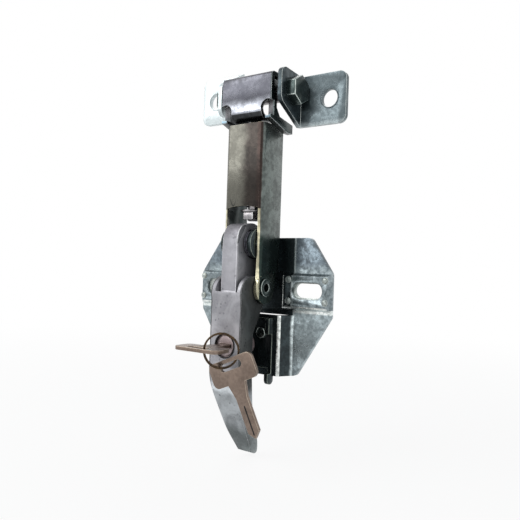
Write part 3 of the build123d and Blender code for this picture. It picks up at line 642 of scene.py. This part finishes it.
def place_piece(name: str, bm: Solid, body: Body, finish: Finish,
                nodes: Sequence[str] = (), sharp: float = SHADE_ANGLE) -> bpy.types.Object:
    """Turn a mesh into a dressed piece that rides on its body.

    Args:
        name: The piece's name.
        bm: Its mesh, which is freed.
        body: The body it moves with.
        finish: Its finish.
        nodes: CAD nodes that it stands for.
        sharp: Angle above which an edge stays sharp in shading, in degrees.

    Returns:
        The new object.
    """
    mesh = bpy.data.meshes.new(name)
    bm.to_mesh(mesh)
    bm.free()
    mesh.materials.clear()
    mesh.materials.append(finish.material())
    mesh.shade_smooth()
    mesh.set_sharp_from_angle(angle=math.radians(sharp))
    piece = add_object(name, mesh)
    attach(piece, body.value)
    if nodes:
        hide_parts(*nodes)
    LOG.info("%s on %s: %d faces", name, body.value, len(mesh.polygons))
    return piece


def grown(name: str, points: Sequence[Vector], tree: Tree,
          values: dict[str, object]) -> Solid:
    """Run a Geometry Nodes tree on a few points and keep its plain mesh.

    Args:
        name: Name of the temporary object.
        points: The points.
        tree: The tree.
        values: Value of each named input.

    Returns:
        The result as a mesh.
    """
    mesh = bpy.data.meshes.new(name)
    mesh.from_pydata([tuple(p) for p in points], [], [])
    holder = add_object(name, mesh)
    modifier = holder.modifiers.new("grow", "NODES")
    modifier.node_group = tree
    for item in tree.interface.items_tree:
        if item.item_type == "SOCKET" and item.in_out == "INPUT" and item.name in values:
            modifier[item.identifier] = values[item.name]
    graph = bpy.context.evaluated_depsgraph_get()
    plain = bpy.data.meshes.new_from_object(holder.evaluated_get(graph))
    holder.modifiers.remove(modifier)
    bm = bmesh.new()
    bm.from_mesh(plain)
    bpy.data.objects.remove(holder)
    bpy.data.meshes.remove(mesh)
    bpy.data.meshes.remove(plain)
    bmesh.ops.remove_doubles(bm, verts=bm.verts, dist=MERGE_GROWN)
    bmesh.ops.recalc_face_normals(bm, faces=bm.faces)
    return bm


def put_copies(w: Wiring, given: bpy.types.Node, result: bpy.types.Node,
               shape: Socket, lean: object, finish: Finish) -> None:
    """Put a shape at each given point, make the copies real and dress them.

    Args:
        w: The tree's wiring.
        given: Its input node.
        result: Its output node.
        shape: Mesh of one copy.
        lean: Rotation of each copy, as a socket or as three angles.
        finish: The copies' finish.
    """
    spots = w.add("GeometryNodeMeshToPoints")
    w.join(given.outputs["Geometry"], spots.inputs["Mesh"])
    copies = w.add("GeometryNodeInstanceOnPoints")
    w.join(spots.outputs["Points"], copies.inputs["Points"])
    w.join(shape, copies.inputs["Instance"])
    w.feed(copies.inputs["Rotation"], lean)
    real = w.add("GeometryNodeRealizeInstances")
    w.join(copies.outputs["Instances"], real.inputs["Geometry"])
    dressed = w.add("GeometryNodeSetMaterial")
    dressed.inputs["Material"].default_value = finish.material()
    w.join(real.outputs["Geometry"], dressed.inputs["Geometry"])
    w.join(dressed.outputs["Geometry"], result.inputs["Geometry"])


def bead_ring_tree(finish: Finish) -> Tree:
    """Build the tree that puts a raised bead ring at each point, facing the front.

    Args:
        finish: The rings' finish.

    Returns:
        The tree.
    """
    inputs = (("Geometry", GEOMETRY), ("Ring Radius", FLOAT), ("Bead Radius", FLOAT))
    tree, w, given, result = open_group("bead_rings", inputs, inputs[:1], "GeometryNodeTree")
    tube = w.add("GeometryNodeCurveToMesh")
    for label, steps, into in (("Ring Radius", 24, "Curve"), ("Bead Radius", 8, "Profile Curve")):
        circle = w.add("GeometryNodeCurvePrimitiveCircle")
        circle.inputs["Resolution"].default_value = steps
        w.join(given.outputs[label], circle.inputs["Radius"])
        w.join(circle.outputs["Curve"], tube.inputs[into])
    put_copies(w, given, result, tube.outputs["Mesh"], (math.pi / 2, 0.0, 0.0), finish)
    return tree


def thread_tree(finish: Finish) -> Tree:
    """Build the tree that winds a screw thread from each point.

    Args:
        finish: The thread's finish.

    Returns:
        The tree.
    """
    inputs = (("Geometry", GEOMETRY), ("Thread Radius", FLOAT), ("Length", FLOAT), ("Turns", FLOAT),
              ("Ridge", FLOAT), ("Lean", ROTATION))
    tree, w, given, result = open_group("screw_thread", inputs, inputs[:1], "GeometryNodeTree")
    coil = w.add("GeometryNodeCurveSpiral")
    coil.inputs["Resolution"].default_value = 24
    for label, into in (("Thread Radius", "Start Radius"), ("Thread Radius", "End Radius"),
                        ("Turns", "Rotations"), ("Length", "Height")):
        w.join(given.outputs[label], coil.inputs[into])
    ridge = w.add("GeometryNodeCurvePrimitiveCircle")
    ridge.inputs["Resolution"].default_value = 4
    w.join(given.outputs["Ridge"], ridge.inputs["Radius"])
    tube = w.add("GeometryNodeCurveToMesh")
    tube.inputs["Fill Caps"].default_value = True
    w.join(coil.outputs["Curve"], tube.inputs["Curve"])
    w.join(ridge.outputs["Curve"], tube.inputs["Profile Curve"])
    put_copies(w, given, result, tube.outputs["Mesh"], given.outputs["Lean"], finish)
    return tree


def upright(way: Vector) -> bool:
    """Say whether an edge runs up and down."""
    return abs(way.z) > 0.98


@dataclass
class MountingBase:
    """Base plate with its backing plates, pivot bracket and lock catch.

    Attributes:
        fold: Rounding of the pressed hat's ridges.
        pad_fold: Rounding of the raised pads' rim.
        hat_front: Where the pressed hat's front lies, along Y.
        hat_half: Half the width of the hat's front.
        pad_front: Where the raised pads' front lies, along Y.
        stake_out: Distance of each stake from its slot's middle, along X.
        stake_rise: The same along Z.
        ring_radius: Radius of the ring round each stake.
        bead_radius: Half the thickness of that ring.
    """

    fold: float = 1.1 * MM
    pad_fold: float = 0.7 * MM
    hat_front: float = -10.0 * MM
    hat_half: float = 16.0 * MM
    pad_front: float = -4.9 * MM
    stake_out: float = 10.8 * MM
    stake_rise: float = 5.5 * MM
    ring_radius: float = 1.5 * MM
    bead_radius: float = 0.3 * MM

    def _hat_ridge(self, middle: Vector, way: Vector) -> bool:
        """Choose the pressed hat's outer ridges."""
        return (upright(way) and abs(middle.y - self.hat_front) < 0.1 * MM
                and abs(abs(middle.x) - self.hat_half) < 0.2 * MM)

    def _pad_side(self, middle: Vector, way: Vector) -> bool:
        """Choose the rim of the raised pads, but not their slots."""
        on_pad = abs(middle.y - self.pad_front) < 0.05 * MM and abs(way.y) < 0.1
        in_slot = abs(middle.z) < 5.0 * MM and 17.0 * MM < abs(middle.x) < 40.0 * MM
        on_rim = abs(middle.z) > 7.8 * MM or abs(middle.x) < 15.0 * MM
        return on_pad and on_rim and not in_slot

    def build(self) -> None:
        """Build and dress every piece of the base."""
        folds = (Softened(self.fold, 4, self._hat_ridge), Softened(self.pad_fold, 3, self._pad_side))
        Part("base_plate", Body.BASE, "base_zinc", BASE_ZINC, folds).build()
        for side in ("left", "right"):
            Part(f"backing_plate_{side}", Body.BASE, "plate_zinc", PLATE_ZINC).build()
        Part("pivot_bracket", Body.BASE, "bracket_zinc", BRACKET_ZINC).build()
        Part("bracket_rivets", Body.BASE, "fastener_zinc", FASTENER_ZINC).build()
        Part("pivot_pin", Body.BASE, "fastener_zinc", FASTENER_ZINC).build()
        Part("torsion_spring", Body.BASE, "spring_steel", SPRING_STEEL, edge=0.0, sharp=80.0).build()
        Part("pivot_spacer", Body.BASE, "fastener_zinc", FASTENER_ZINC).build()
        Part("lock_catch", Body.BASE, "bracket_zinc", BRACKET_ZINC).build()
        Part("catch_rivets", Body.BASE, "fastener_zinc", FASTENER_ZINC).build()
        self._stake_beads()

    def _stake_beads(self) -> None:
        """Put the swelled bead that staking leaves round each of the eight stakes."""
        spots = []
        for side in ("left", "right"):
            low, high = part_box(f"backing_plate_{side}")
            middle = (low + high) / 2
            spots += [Vector((middle.x + dx, self.pad_front, middle.z + dz))
                      for dx in (-self.stake_out, self.stake_out)
                      for dz in (-self.stake_rise, self.stake_rise)]
        rings = grown("stake_rings", spots, bead_ring_tree(PLATE_ZINC),
                      {"Ring Radius": self.ring_radius, "Bead Radius": self.bead_radius})
        place_piece("stake_beads", rings, Body.BASE, PLATE_ZINC, sharp=60.0)


@dataclass
class Keeper:
    """The two keeper brackets with the bolt, nut and sleeve between them.

    Attributes:
        thread_radius: Radius of the bolt's thread.
        ridge: Half height of a thread ridge.
        pitch: Distance between turns of the thread.
        hole_out: Distance of each mounting hole from the middle plane.
        hole_rise: Height of the right hole above its bracket's lowest edge.
        hole_radius: Radius of the rim round each hole.
        flange_front: Where the flanges' front lies, along Y.
        bead_radius: Half the thickness of the rim round each hole.
        bracket_edge: Rounding of the brackets' edges.
        head_edge: Rounding of the bolt's and the nut's edges.
        thread_start: How far the thread starts from the bolt's end.
        nut_gap: Space between the thread and the nut.
    """

    thread_radius: float = 3.95 * MM
    ridge: float = 0.28 * MM
    pitch: float = 1.25 * MM
    hole_out: float = 36.9 * MM
    hole_rise: float = 13.0 * MM
    hole_radius: float = 4.85 * MM
    flange_front: float = -2.5 * MM
    bead_radius: float = 0.32 * MM
    bracket_edge: float = 0.3 * MM
    head_edge: float = 0.35 * MM
    thread_start: float = 0.5 * MM
    nut_gap: float = 0.35 * MM

    def build(self) -> None:
        """Build and dress every piece of the keeper."""
        # The right bracket takes the keeper finish; the left one takes its near-white copy with painted
        # reflection.
        for side, finish in (("right", KEEPER_ZINC), ("left", PAINTED_GLARE_KEEPER_ZINC)):
            Part(f"keeper_bracket_{side}", Body.BASE, "keeper_zinc", finish,
                 edge=self.bracket_edge).build()
        for node in ("keeper_bolt", "keeper_nut"):
            Part(node, Body.BASE, "fastener_zinc", FASTENER_ZINC, edge=self.head_edge).build()
        Part("keeper_sleeve", Body.BASE, "fastener_zinc", BRIGHT_FASTENER).build()
        self._hole_beads()
        self._bolt_thread()

    def _hole_beads(self) -> None:
        """Put the punched hole's raised rim on each flange."""
        for side, name, finish in ((1, "right", KEEPER_ZINC), (-1, "left", PAINTED_GLARE_KEEPER_ZINC)):
            low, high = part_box(f"keeper_bracket_{name}")
            rise = self.hole_rise if side > 0 else high.z - low.z - self.hole_rise
            spot = Vector((side * self.hole_out, self.flange_front, low.z + rise))
            rim = grown(f"hole_rim_{name}", [spot], bead_ring_tree(finish),
                        {"Ring Radius": self.hole_radius, "Bead Radius": self.bead_radius})
            place_piece(f"keeper_hole_rim_{name}", rim, Body.BASE, finish, sharp=60.0)

    def _bolt_thread(self) -> None:
        """Wind the thread on the bolt's free end, past the nut."""
        nut_low, nut_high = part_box("keeper_nut")
        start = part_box("keeper_bolt")[0].x + self.thread_start
        length = nut_low.x - start - self.nut_gap
        middle = (nut_low + nut_high) / 2
        thread = grown("bolt_thread_points", [Vector((start, middle.y, middle.z))],
                       thread_tree(FASTENER_ZINC),
                       {"Thread Radius": self.thread_radius, "Length": length,
                        "Turns": length / self.pitch, "Ridge": self.ridge,
                        "Lean": (0.0, math.pi / 2, 0.0)})
        place_piece("keeper_bolt_thread", thread, Body.BASE, FASTENER_ZINC, sharp=20.0)


@dataclass
class DrawArm:
    """Channel arm with the hook head, draw rod and spring.

    Attributes:
        arm_edge: Rounding of the channel's edges.
        hook_edge: Rounding of the hook's edges.
        nut_edge: Rounding of the rod nut's edges.
    """

    arm_edge: float = 0.45 * MM
    hook_edge: float = 0.4 * MM
    nut_edge: float = 0.3 * MM

    def build(self) -> None:
        """Build and dress every piece of the arm."""
        Part("draw_arm", Body.ARM, "arm_zinc", ARM_ZINC, edge=self.arm_edge).build()
        Part("hook_head", Body.ARM, "hook_zinc", HOOK_ZINC, edge=self.hook_edge).build()
        Part("draw_rod", Body.ARM, "fastener_zinc", BRIGHT_FASTENER).build()
        Part("rod_nut", Body.ARM, "fastener_zinc", BRIGHT_FASTENER, edge=self.nut_edge).build()
        Part("spring_washer", Body.ARM, "fastener_zinc", BRIGHT_FASTENER).build()
        Part("spring_seat", Body.ARM, "plate_zinc", ARM_ZINC).build()
        Part("draw_spring", Body.ARM, "spring_steel", SPRING_STEEL, edge=0.0, sharp=80.0).build()


@dataclass
class Lever:
    """The cast lever with its hollow pin and the lock's barrel.

    Attributes:
        rim_outer: Outer radius of the black ring of painted shadow round the lock.
        rim_inner: Inner radius of that rim.
        rim_back: How far the rim lies behind the lever's front.
        rim_depth: The rim's depth.
        round_over: Rounding of the casting's corners.
        pin_edge: Rounding of the arm pin's ends.
        nose_edge: Rounding of the tongue's front.
        nose_half: Half the width of the tongue's front.
        nose_outline: Side view of the tongue's front, as Y and Z in metres.
    """

    rim_outer: float = 6.17 * MM
    rim_inner: float = 5.75 * MM
    rim_back: float = 0.15 * MM
    rim_depth: float = 1.1 * MM
    round_over: float = 0.5 * MM
    pin_edge: float = 0.2 * MM
    nose_edge: float = 0.35 * MM
    nose_half: float = 4.58 * MM
    nose_outline: Outline = (
        (-0.03224, -0.0011), (-0.03220, 0.0230), (-0.03180, 0.0265), (-0.03080, 0.0293),
        (-0.02900, 0.0314), (-0.02640, 0.0327), (-0.02400, 0.0324), (-0.02400, 0.0250),
        (-0.02700, 0.0190), (-0.03000, 0.0150), (-0.03000, -0.0011))

    def build(self) -> None:
        """Build and dress every piece of the lever."""
        Part("handle_lever", Body.HANDLE, "cast_lever", CAST_LEVER, edge=self.round_over).build()
        Part("arm_pin", Body.HANDLE, "fastener_zinc", FASTENER_ZINC, edge=self.pin_edge).build()
        Part("lock_barrel", Body.HANDLE, "lock_dark", LOCK_FACE).build()
        self._rim()
        self._tongue_nose()

    def _tongue_nose(self) -> None:
        """Fill the tongue's straight front up to its rounded top."""
        nose = prism(self.nose_outline, self.nose_half)
        round_edges(nose, Softened(self.nose_edge, 2, everywhere), SHARP_ANGLE)
        place_piece("lever_tongue_nose", nose, Body.HANDLE, TONGUE_CAST)

    def _rim(self) -> None:
        """Turn a black ring of painted shadow for the gap round the lock, in its bore."""
        low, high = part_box("lock_barrel")
        centre = (low + high) / 2
        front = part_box("handle_lever")[0].y + self.rim_back
        outline = ((self.rim_inner, 0.0), (self.rim_outer, 0.0), (self.rim_outer, self.rim_depth),
                   (self.rim_inner, self.rim_depth))
        rim = turned(outline, Vector((centre.x, front, centre.z)), 48)
        # Black ring of painted shadow in the gap between the lock and its bore.
        place_piece("lock_gap_shadow_ring", rim, Body.HANDLE, PAINTED_SHADE_BLACK, sharp=40.0)


def prism(outline: Outline, half: float) -> Solid:
    """Push a side view out to both sides of the middle plane.

    Args:
        outline: Y and Z of each corner.
        half: Half the width.

    Returns:
        The solid's mesh.
    """
    bm = bmesh.new()
    near = [bm.verts.new((half, y, z)) for y, z in outline]
    far = [bm.verts.new((-half, y, z)) for y, z in outline]
    bm.faces.new(near)
    bm.faces.new(far)
    for i in range(len(outline)):
        j = (i + 1) % len(outline)
        bm.faces.new((near[i], near[j], far[j], far[i]))
    bmesh.ops.recalc_face_normals(bm, faces=bm.faces)
    return bm


def turned(outline: Outline, centre: Vector, steps: int) -> Solid:
    """Turn a closed outline about a line along Y.

    Args:
        outline: Radius and depth of each corner.
        centre: Where the line starts.
        steps: Sides of the turned ring.

    Returns:
        The ring's mesh.
    """
    bm = bmesh.new()
    rings = []
    for i in range(steps):
        angle = 2 * math.pi * i / steps
        rings.append([bm.verts.new(centre + Vector((r * math.cos(angle), d, r * math.sin(angle))))
                      for r, d in outline])
    count = len(outline)
    for i in range(steps):
        here, there = rings[i], rings[(i + 1) % steps]
        for j in range(count):
            bm.faces.new((here[j], here[(j + 1) % count], there[(j + 1) % count], there[j]))
    bmesh.ops.recalc_face_normals(bm, faces=bm.faces)
    return bm


def widest_normal(mesh: bpy.types.Mesh) -> Vector:
    """Find the direction that the largest faces of a flat piece look in.

    Args:
        mesh: The piece's mesh.

    Returns:
        The direction, of length 1.
    """
    total: dict[tuple[float, float, float], float] = {}
    for polygon in mesh.polygons:
        key = tuple(round(v, 2) for v in polygon.normal)
        total[key] = total.get(key, 0.0) + polygon.area
    return Vector(max(total, key=lambda k: total[k])).normalized()


@dataclass
class LockAndKeys:
    """Turning plug, cam and key, with the split ring and the spare key.

    Attributes:
        groove_half: Half the width of the groove milled along the spare key's blade.
        groove_length: Its length.
        groove_proud: How far its near-black floor, painted shade, is drawn in front of the blade.
        groove_inset: Distance from the groove to the blade's tip.
        tip_reach: How far round the tip its corners lie.
        key_edge: Rounding of both keys' edges.
        ring_edge: Rounding of the ring's edges.
        ring_slim: How far the ring's faces are drawn in.
        spare_slim: How far the spare key's faces are drawn in.
        groove_outline: The groove's corners, as shares of its length and half width.
    """

    groove_half: float = 0.32 * MM
    groove_length: float = 13.0 * MM
    groove_proud: float = 0.02 * MM
    groove_inset: float = 2.0 * MM
    tip_reach: float = 2.4 * MM
    key_edge: float = 0.15 * MM
    ring_edge: float = 0.1 * MM
    ring_slim: float = 0.07 * MM
    spare_slim: float = 0.04 * MM
    groove_outline: Outline = (
        (0.0, -1.0), (1.0, -1.0), (1.04, 0.0), (1.0, 1.0), (0.0, 1.0), (-0.04, 0.0))

    def _blade_grooves(self) -> None:
        """Draw the groove along both faces of the spare key's blade as a near-black strip of painted
        shade.
        """
        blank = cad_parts["spare_key"].data
        points = [v.co.copy() for v in blank.vertices]
        centre = sum(points, Vector()) / len(points)
        tip = max(points, key=lambda p: (p - centre).length)
        normal = widest_normal(blank)
        ends = [p for p in points if (p - tip).length < self.tip_reach]
        middle = sum(ends, Vector()) / len(ends)
        way = middle - centre
        way = (way - normal * way.dot(normal)).normalized()
        across = normal.cross(way)
        reach = max(abs((p - centre).dot(normal)) for p in points)
        bm = bmesh.new()
        start = middle - way * (self.groove_length + self.groove_inset)
        flat = start - normal * (start - centre).dot(normal)
        for side in (-1, 1):
            level = normal * (side * (reach - self.spare_slim))
            outer = [flat + way * (self.groove_length * a) + across * (self.groove_half * b)
                     for a, b in self.groove_outline]
            upper = [bm.verts.new(p + level + normal * (side * self.groove_proud)) for p in outer]
            lower = [bm.verts.new(p + level - normal * (side * 0.1 * MM)) for p in outer]
            bm.faces.new(upper)
            bm.faces.new(lower)
            for i in range(len(outer)):
                j = (i + 1) % len(outer)
                bm.faces.new((upper[i], upper[j], lower[j], lower[i]))
        bmesh.ops.recalc_face_normals(bm, faces=bm.faces)
        # The groove is drawn as a near-black strip: painted shade for its depth.
        place_piece("spare_key_groove_shade", bm, Body.SPARE, PAINTED_SHADE_BLACK)

    def build(self) -> None:
        """Build and dress every piece that turns with the lock or hangs from it."""
        Part("lock_plug", Body.LOCK, "lock_face", LOCK_FACE).build()
        Part("lock_cam", Body.LOCK, "plate_zinc", BRACKET_ZINC).build()
        Part("cam_screw", Body.LOCK, "fastener_zinc", FASTENER_ZINC).build()
        Part("lock_key", Body.LOCK, "key_nickel", KEY_NICKEL, edge=self.key_edge).build()
        Part("split_ring", Body.RING, "ring_bronze", RING_BRONZE, edge=self.ring_edge,
             slim=self.ring_slim).build()
        Part("spare_key", Body.SPARE, "key_nickel", KEY_NICKEL, edge=self.key_edge,
             slim=self.spare_slim).build()
        self._blade_grooves()


@dataclass(frozen=True)
class Lamp:
    """One soft square lamp that points at the latch.

    Attributes:
        name: Its name.
        place: Where it hangs.
        size: Its side, in metres.
        power: Its power, in watts.
    """

    name: str
    place: tuple[float, float, float]
    size: float
    power: float

    def build(self) -> None:
        """Hang the lamp."""
        data = bpy.data.lights.new(self.name, "AREA")
        data.size, data.energy = self.size, self.power
        lamp = add_object(self.name, data)
        lamp.location = self.place
        lamp.rotation_mode = "QUATERNION"
        lamp.rotation_quaternion = (LAMP_AIM - Vector(self.place)).to_track_quat("-Z", "Y")
        lamp.visible_camera = False


LAMP_AIM = Vector((0.0, 0.0, 0.01))
WHITE = (1.0, 1.0, 1.0, 1.0)


def seen_rays(w: Wiring) -> Socket:
    """Say 1 where the camera looks, straight, in a gloss or through glass, and 0 elsewhere.

    Args:
        w: The tree's wiring.

    Returns:
        The value's socket.
    """
    rays = w.add("ShaderNodeLightPath")
    return w.sum("MAXIMUM", rays.outputs["Is Camera Ray"],
                 w.sum("MAXIMUM", rays.outputs["Is Glossy Ray"], rays.outputs["Is Transmission Ray"]))


@dataclass
class Studio:
    """Pale floor, soft lamps, white surroundings and the camera.

    Attributes:
        eye: Where the camera stands.
        turn: How far the camera stands round to the right, in degrees.
        rise: How far it stands above the level, in degrees.
        roll: Its roll, in degrees.
        lens: Its focal length, in millimetres.
        sensor: Its sensor's width, in millimetres.
        soft_light: Level of the surroundings as a light.
        floor_half: Half the floor's side, in metres.
        floor_gap: How far the floor lies under the latch.
        lamps: The lamps.
    """

    eye: tuple[float, float, float] = (0.18352, -0.26393, 0.01037)
    turn: float = 35.43
    rise: float = -0.86
    roll: float = -1.952
    lens: float = 41.32
    sensor: float = 36.0
    soft_light: float = 0.45
    floor_half: float = 4.0
    floor_gap: float = 0.5 * MM
    lamps: tuple[Lamp, ...] = (Lamp("key_lamp", (-0.55, -0.75, 0.55), 0.8, 5.2),
                               Lamp("fill_lamp", (0.75, -0.55, 0.20), 0.6, 0.8),
                               Lamp("back_lamp", (-0.35, 0.70, 0.65), 0.6, 1.1))

    def camera(self) -> None:
        """Make the camera and give it to the scene."""
        turn, rise, roll = (math.radians(v) for v in (self.turn, self.rise, self.roll))
        back = Vector((math.sin(turn) * math.cos(rise), -math.cos(turn) * math.cos(rise), math.sin(rise)))
        level = Vector((math.cos(turn), math.sin(turn), 0.0))
        head = level.cross(-back)
        right = level * math.cos(roll) - head * math.sin(roll)
        up = level * math.sin(roll) + head * math.cos(roll)
        pose = Matrix((right, up, back)).transposed().to_4x4()
        pose.translation = Vector(self.eye)
        data = bpy.data.cameras.new("camera")
        data.lens, data.sensor_width = self.lens, self.sensor
        data.clip_start, data.clip_end = 0.01, 20.0
        camera = add_object("camera", data)
        camera.matrix_world = pose
        bpy.context.scene.camera = camera

    def surroundings(self) -> None:
        """Make the world white to the camera and softly grey as a light."""
        world = bpy.data.worlds.new("surroundings")
        bpy.context.scene.world = world
        w = fresh_wiring(world)
        white = w.add("ShaderNodeBackground")
        white.inputs["Color"].default_value = WHITE
        soft = w.add("ShaderNodeBackground")
        soft.inputs["Color"].default_value = (0.93, 0.97, 1.0, 1.0)
        soft.inputs["Strength"].default_value = self.soft_light
        w.join(w.mix(seen_rays(w), soft.outputs[0], white.outputs[0]),
               w.add("ShaderNodeOutputWorld").inputs[0])

    def floor(self) -> None:
        """Lay the pale floor just under the latch."""
        level, half = CAD_BOX[0].z - self.floor_gap, self.floor_half
        corners = [(-half, -half, level), (half, -half, level), (half, half, level), (-half, half, level)]
        mesh = bpy.data.meshes.new("floor")
        mesh.from_pydata(corners, [], [(0, 1, 2, 3)])
        material = bpy.data.materials.new("floor_white")
        w = fresh_wiring(material)
        paint = w.add("ShaderNodeBsdfPrincipled")
        paint.inputs["Base Color"].default_value = (0.94, 0.94, 0.94, 1.0)
        paint.inputs["Roughness"].default_value = 0.9
        glow = w.add("ShaderNodeEmission")
        glow.inputs["Color"].default_value = WHITE
        spot = w.add("ShaderNodeTexCoord").outputs["Object"]
        reach = w.add("ShaderNodeVectorMath", operation="LENGTH")
        w.join(spot, reach.inputs[0])
        share = w.spread(reach.outputs["Value"], 0.12, 0.75, 0.88, 1.0)
        w.join(w.mix(w.sum("MULTIPLY", seen_rays(w), share), paint.outputs[0], glow.outputs[0]),
               w.add("ShaderNodeOutputMaterial").inputs[0])
        mesh.materials.append(material)
        floor = add_object("floor", mesh)

    def build(self) -> None:
        """Set up the whole studio."""
        self.camera()
        self.surroundings()
        self.floor()
        for lamp in self.lamps:
            lamp.build()
        bpy.context.scene.view_settings.view_transform = "Standard"


def main() -> None:
    """Build the latch."""
    logging.basicConfig(level=logging.INFO, format="%(message)s")
    plating_skin()
    casting_skin()
    scuff_marks()
    for assembly in (Studio(), MountingBase(), Keeper(), DrawArm(), Lever(), LockAndKeys()):
        assembly.build()
        LOG.info("%s built", type(assembly).__name__)


if __name__ == "__main__":
    main()
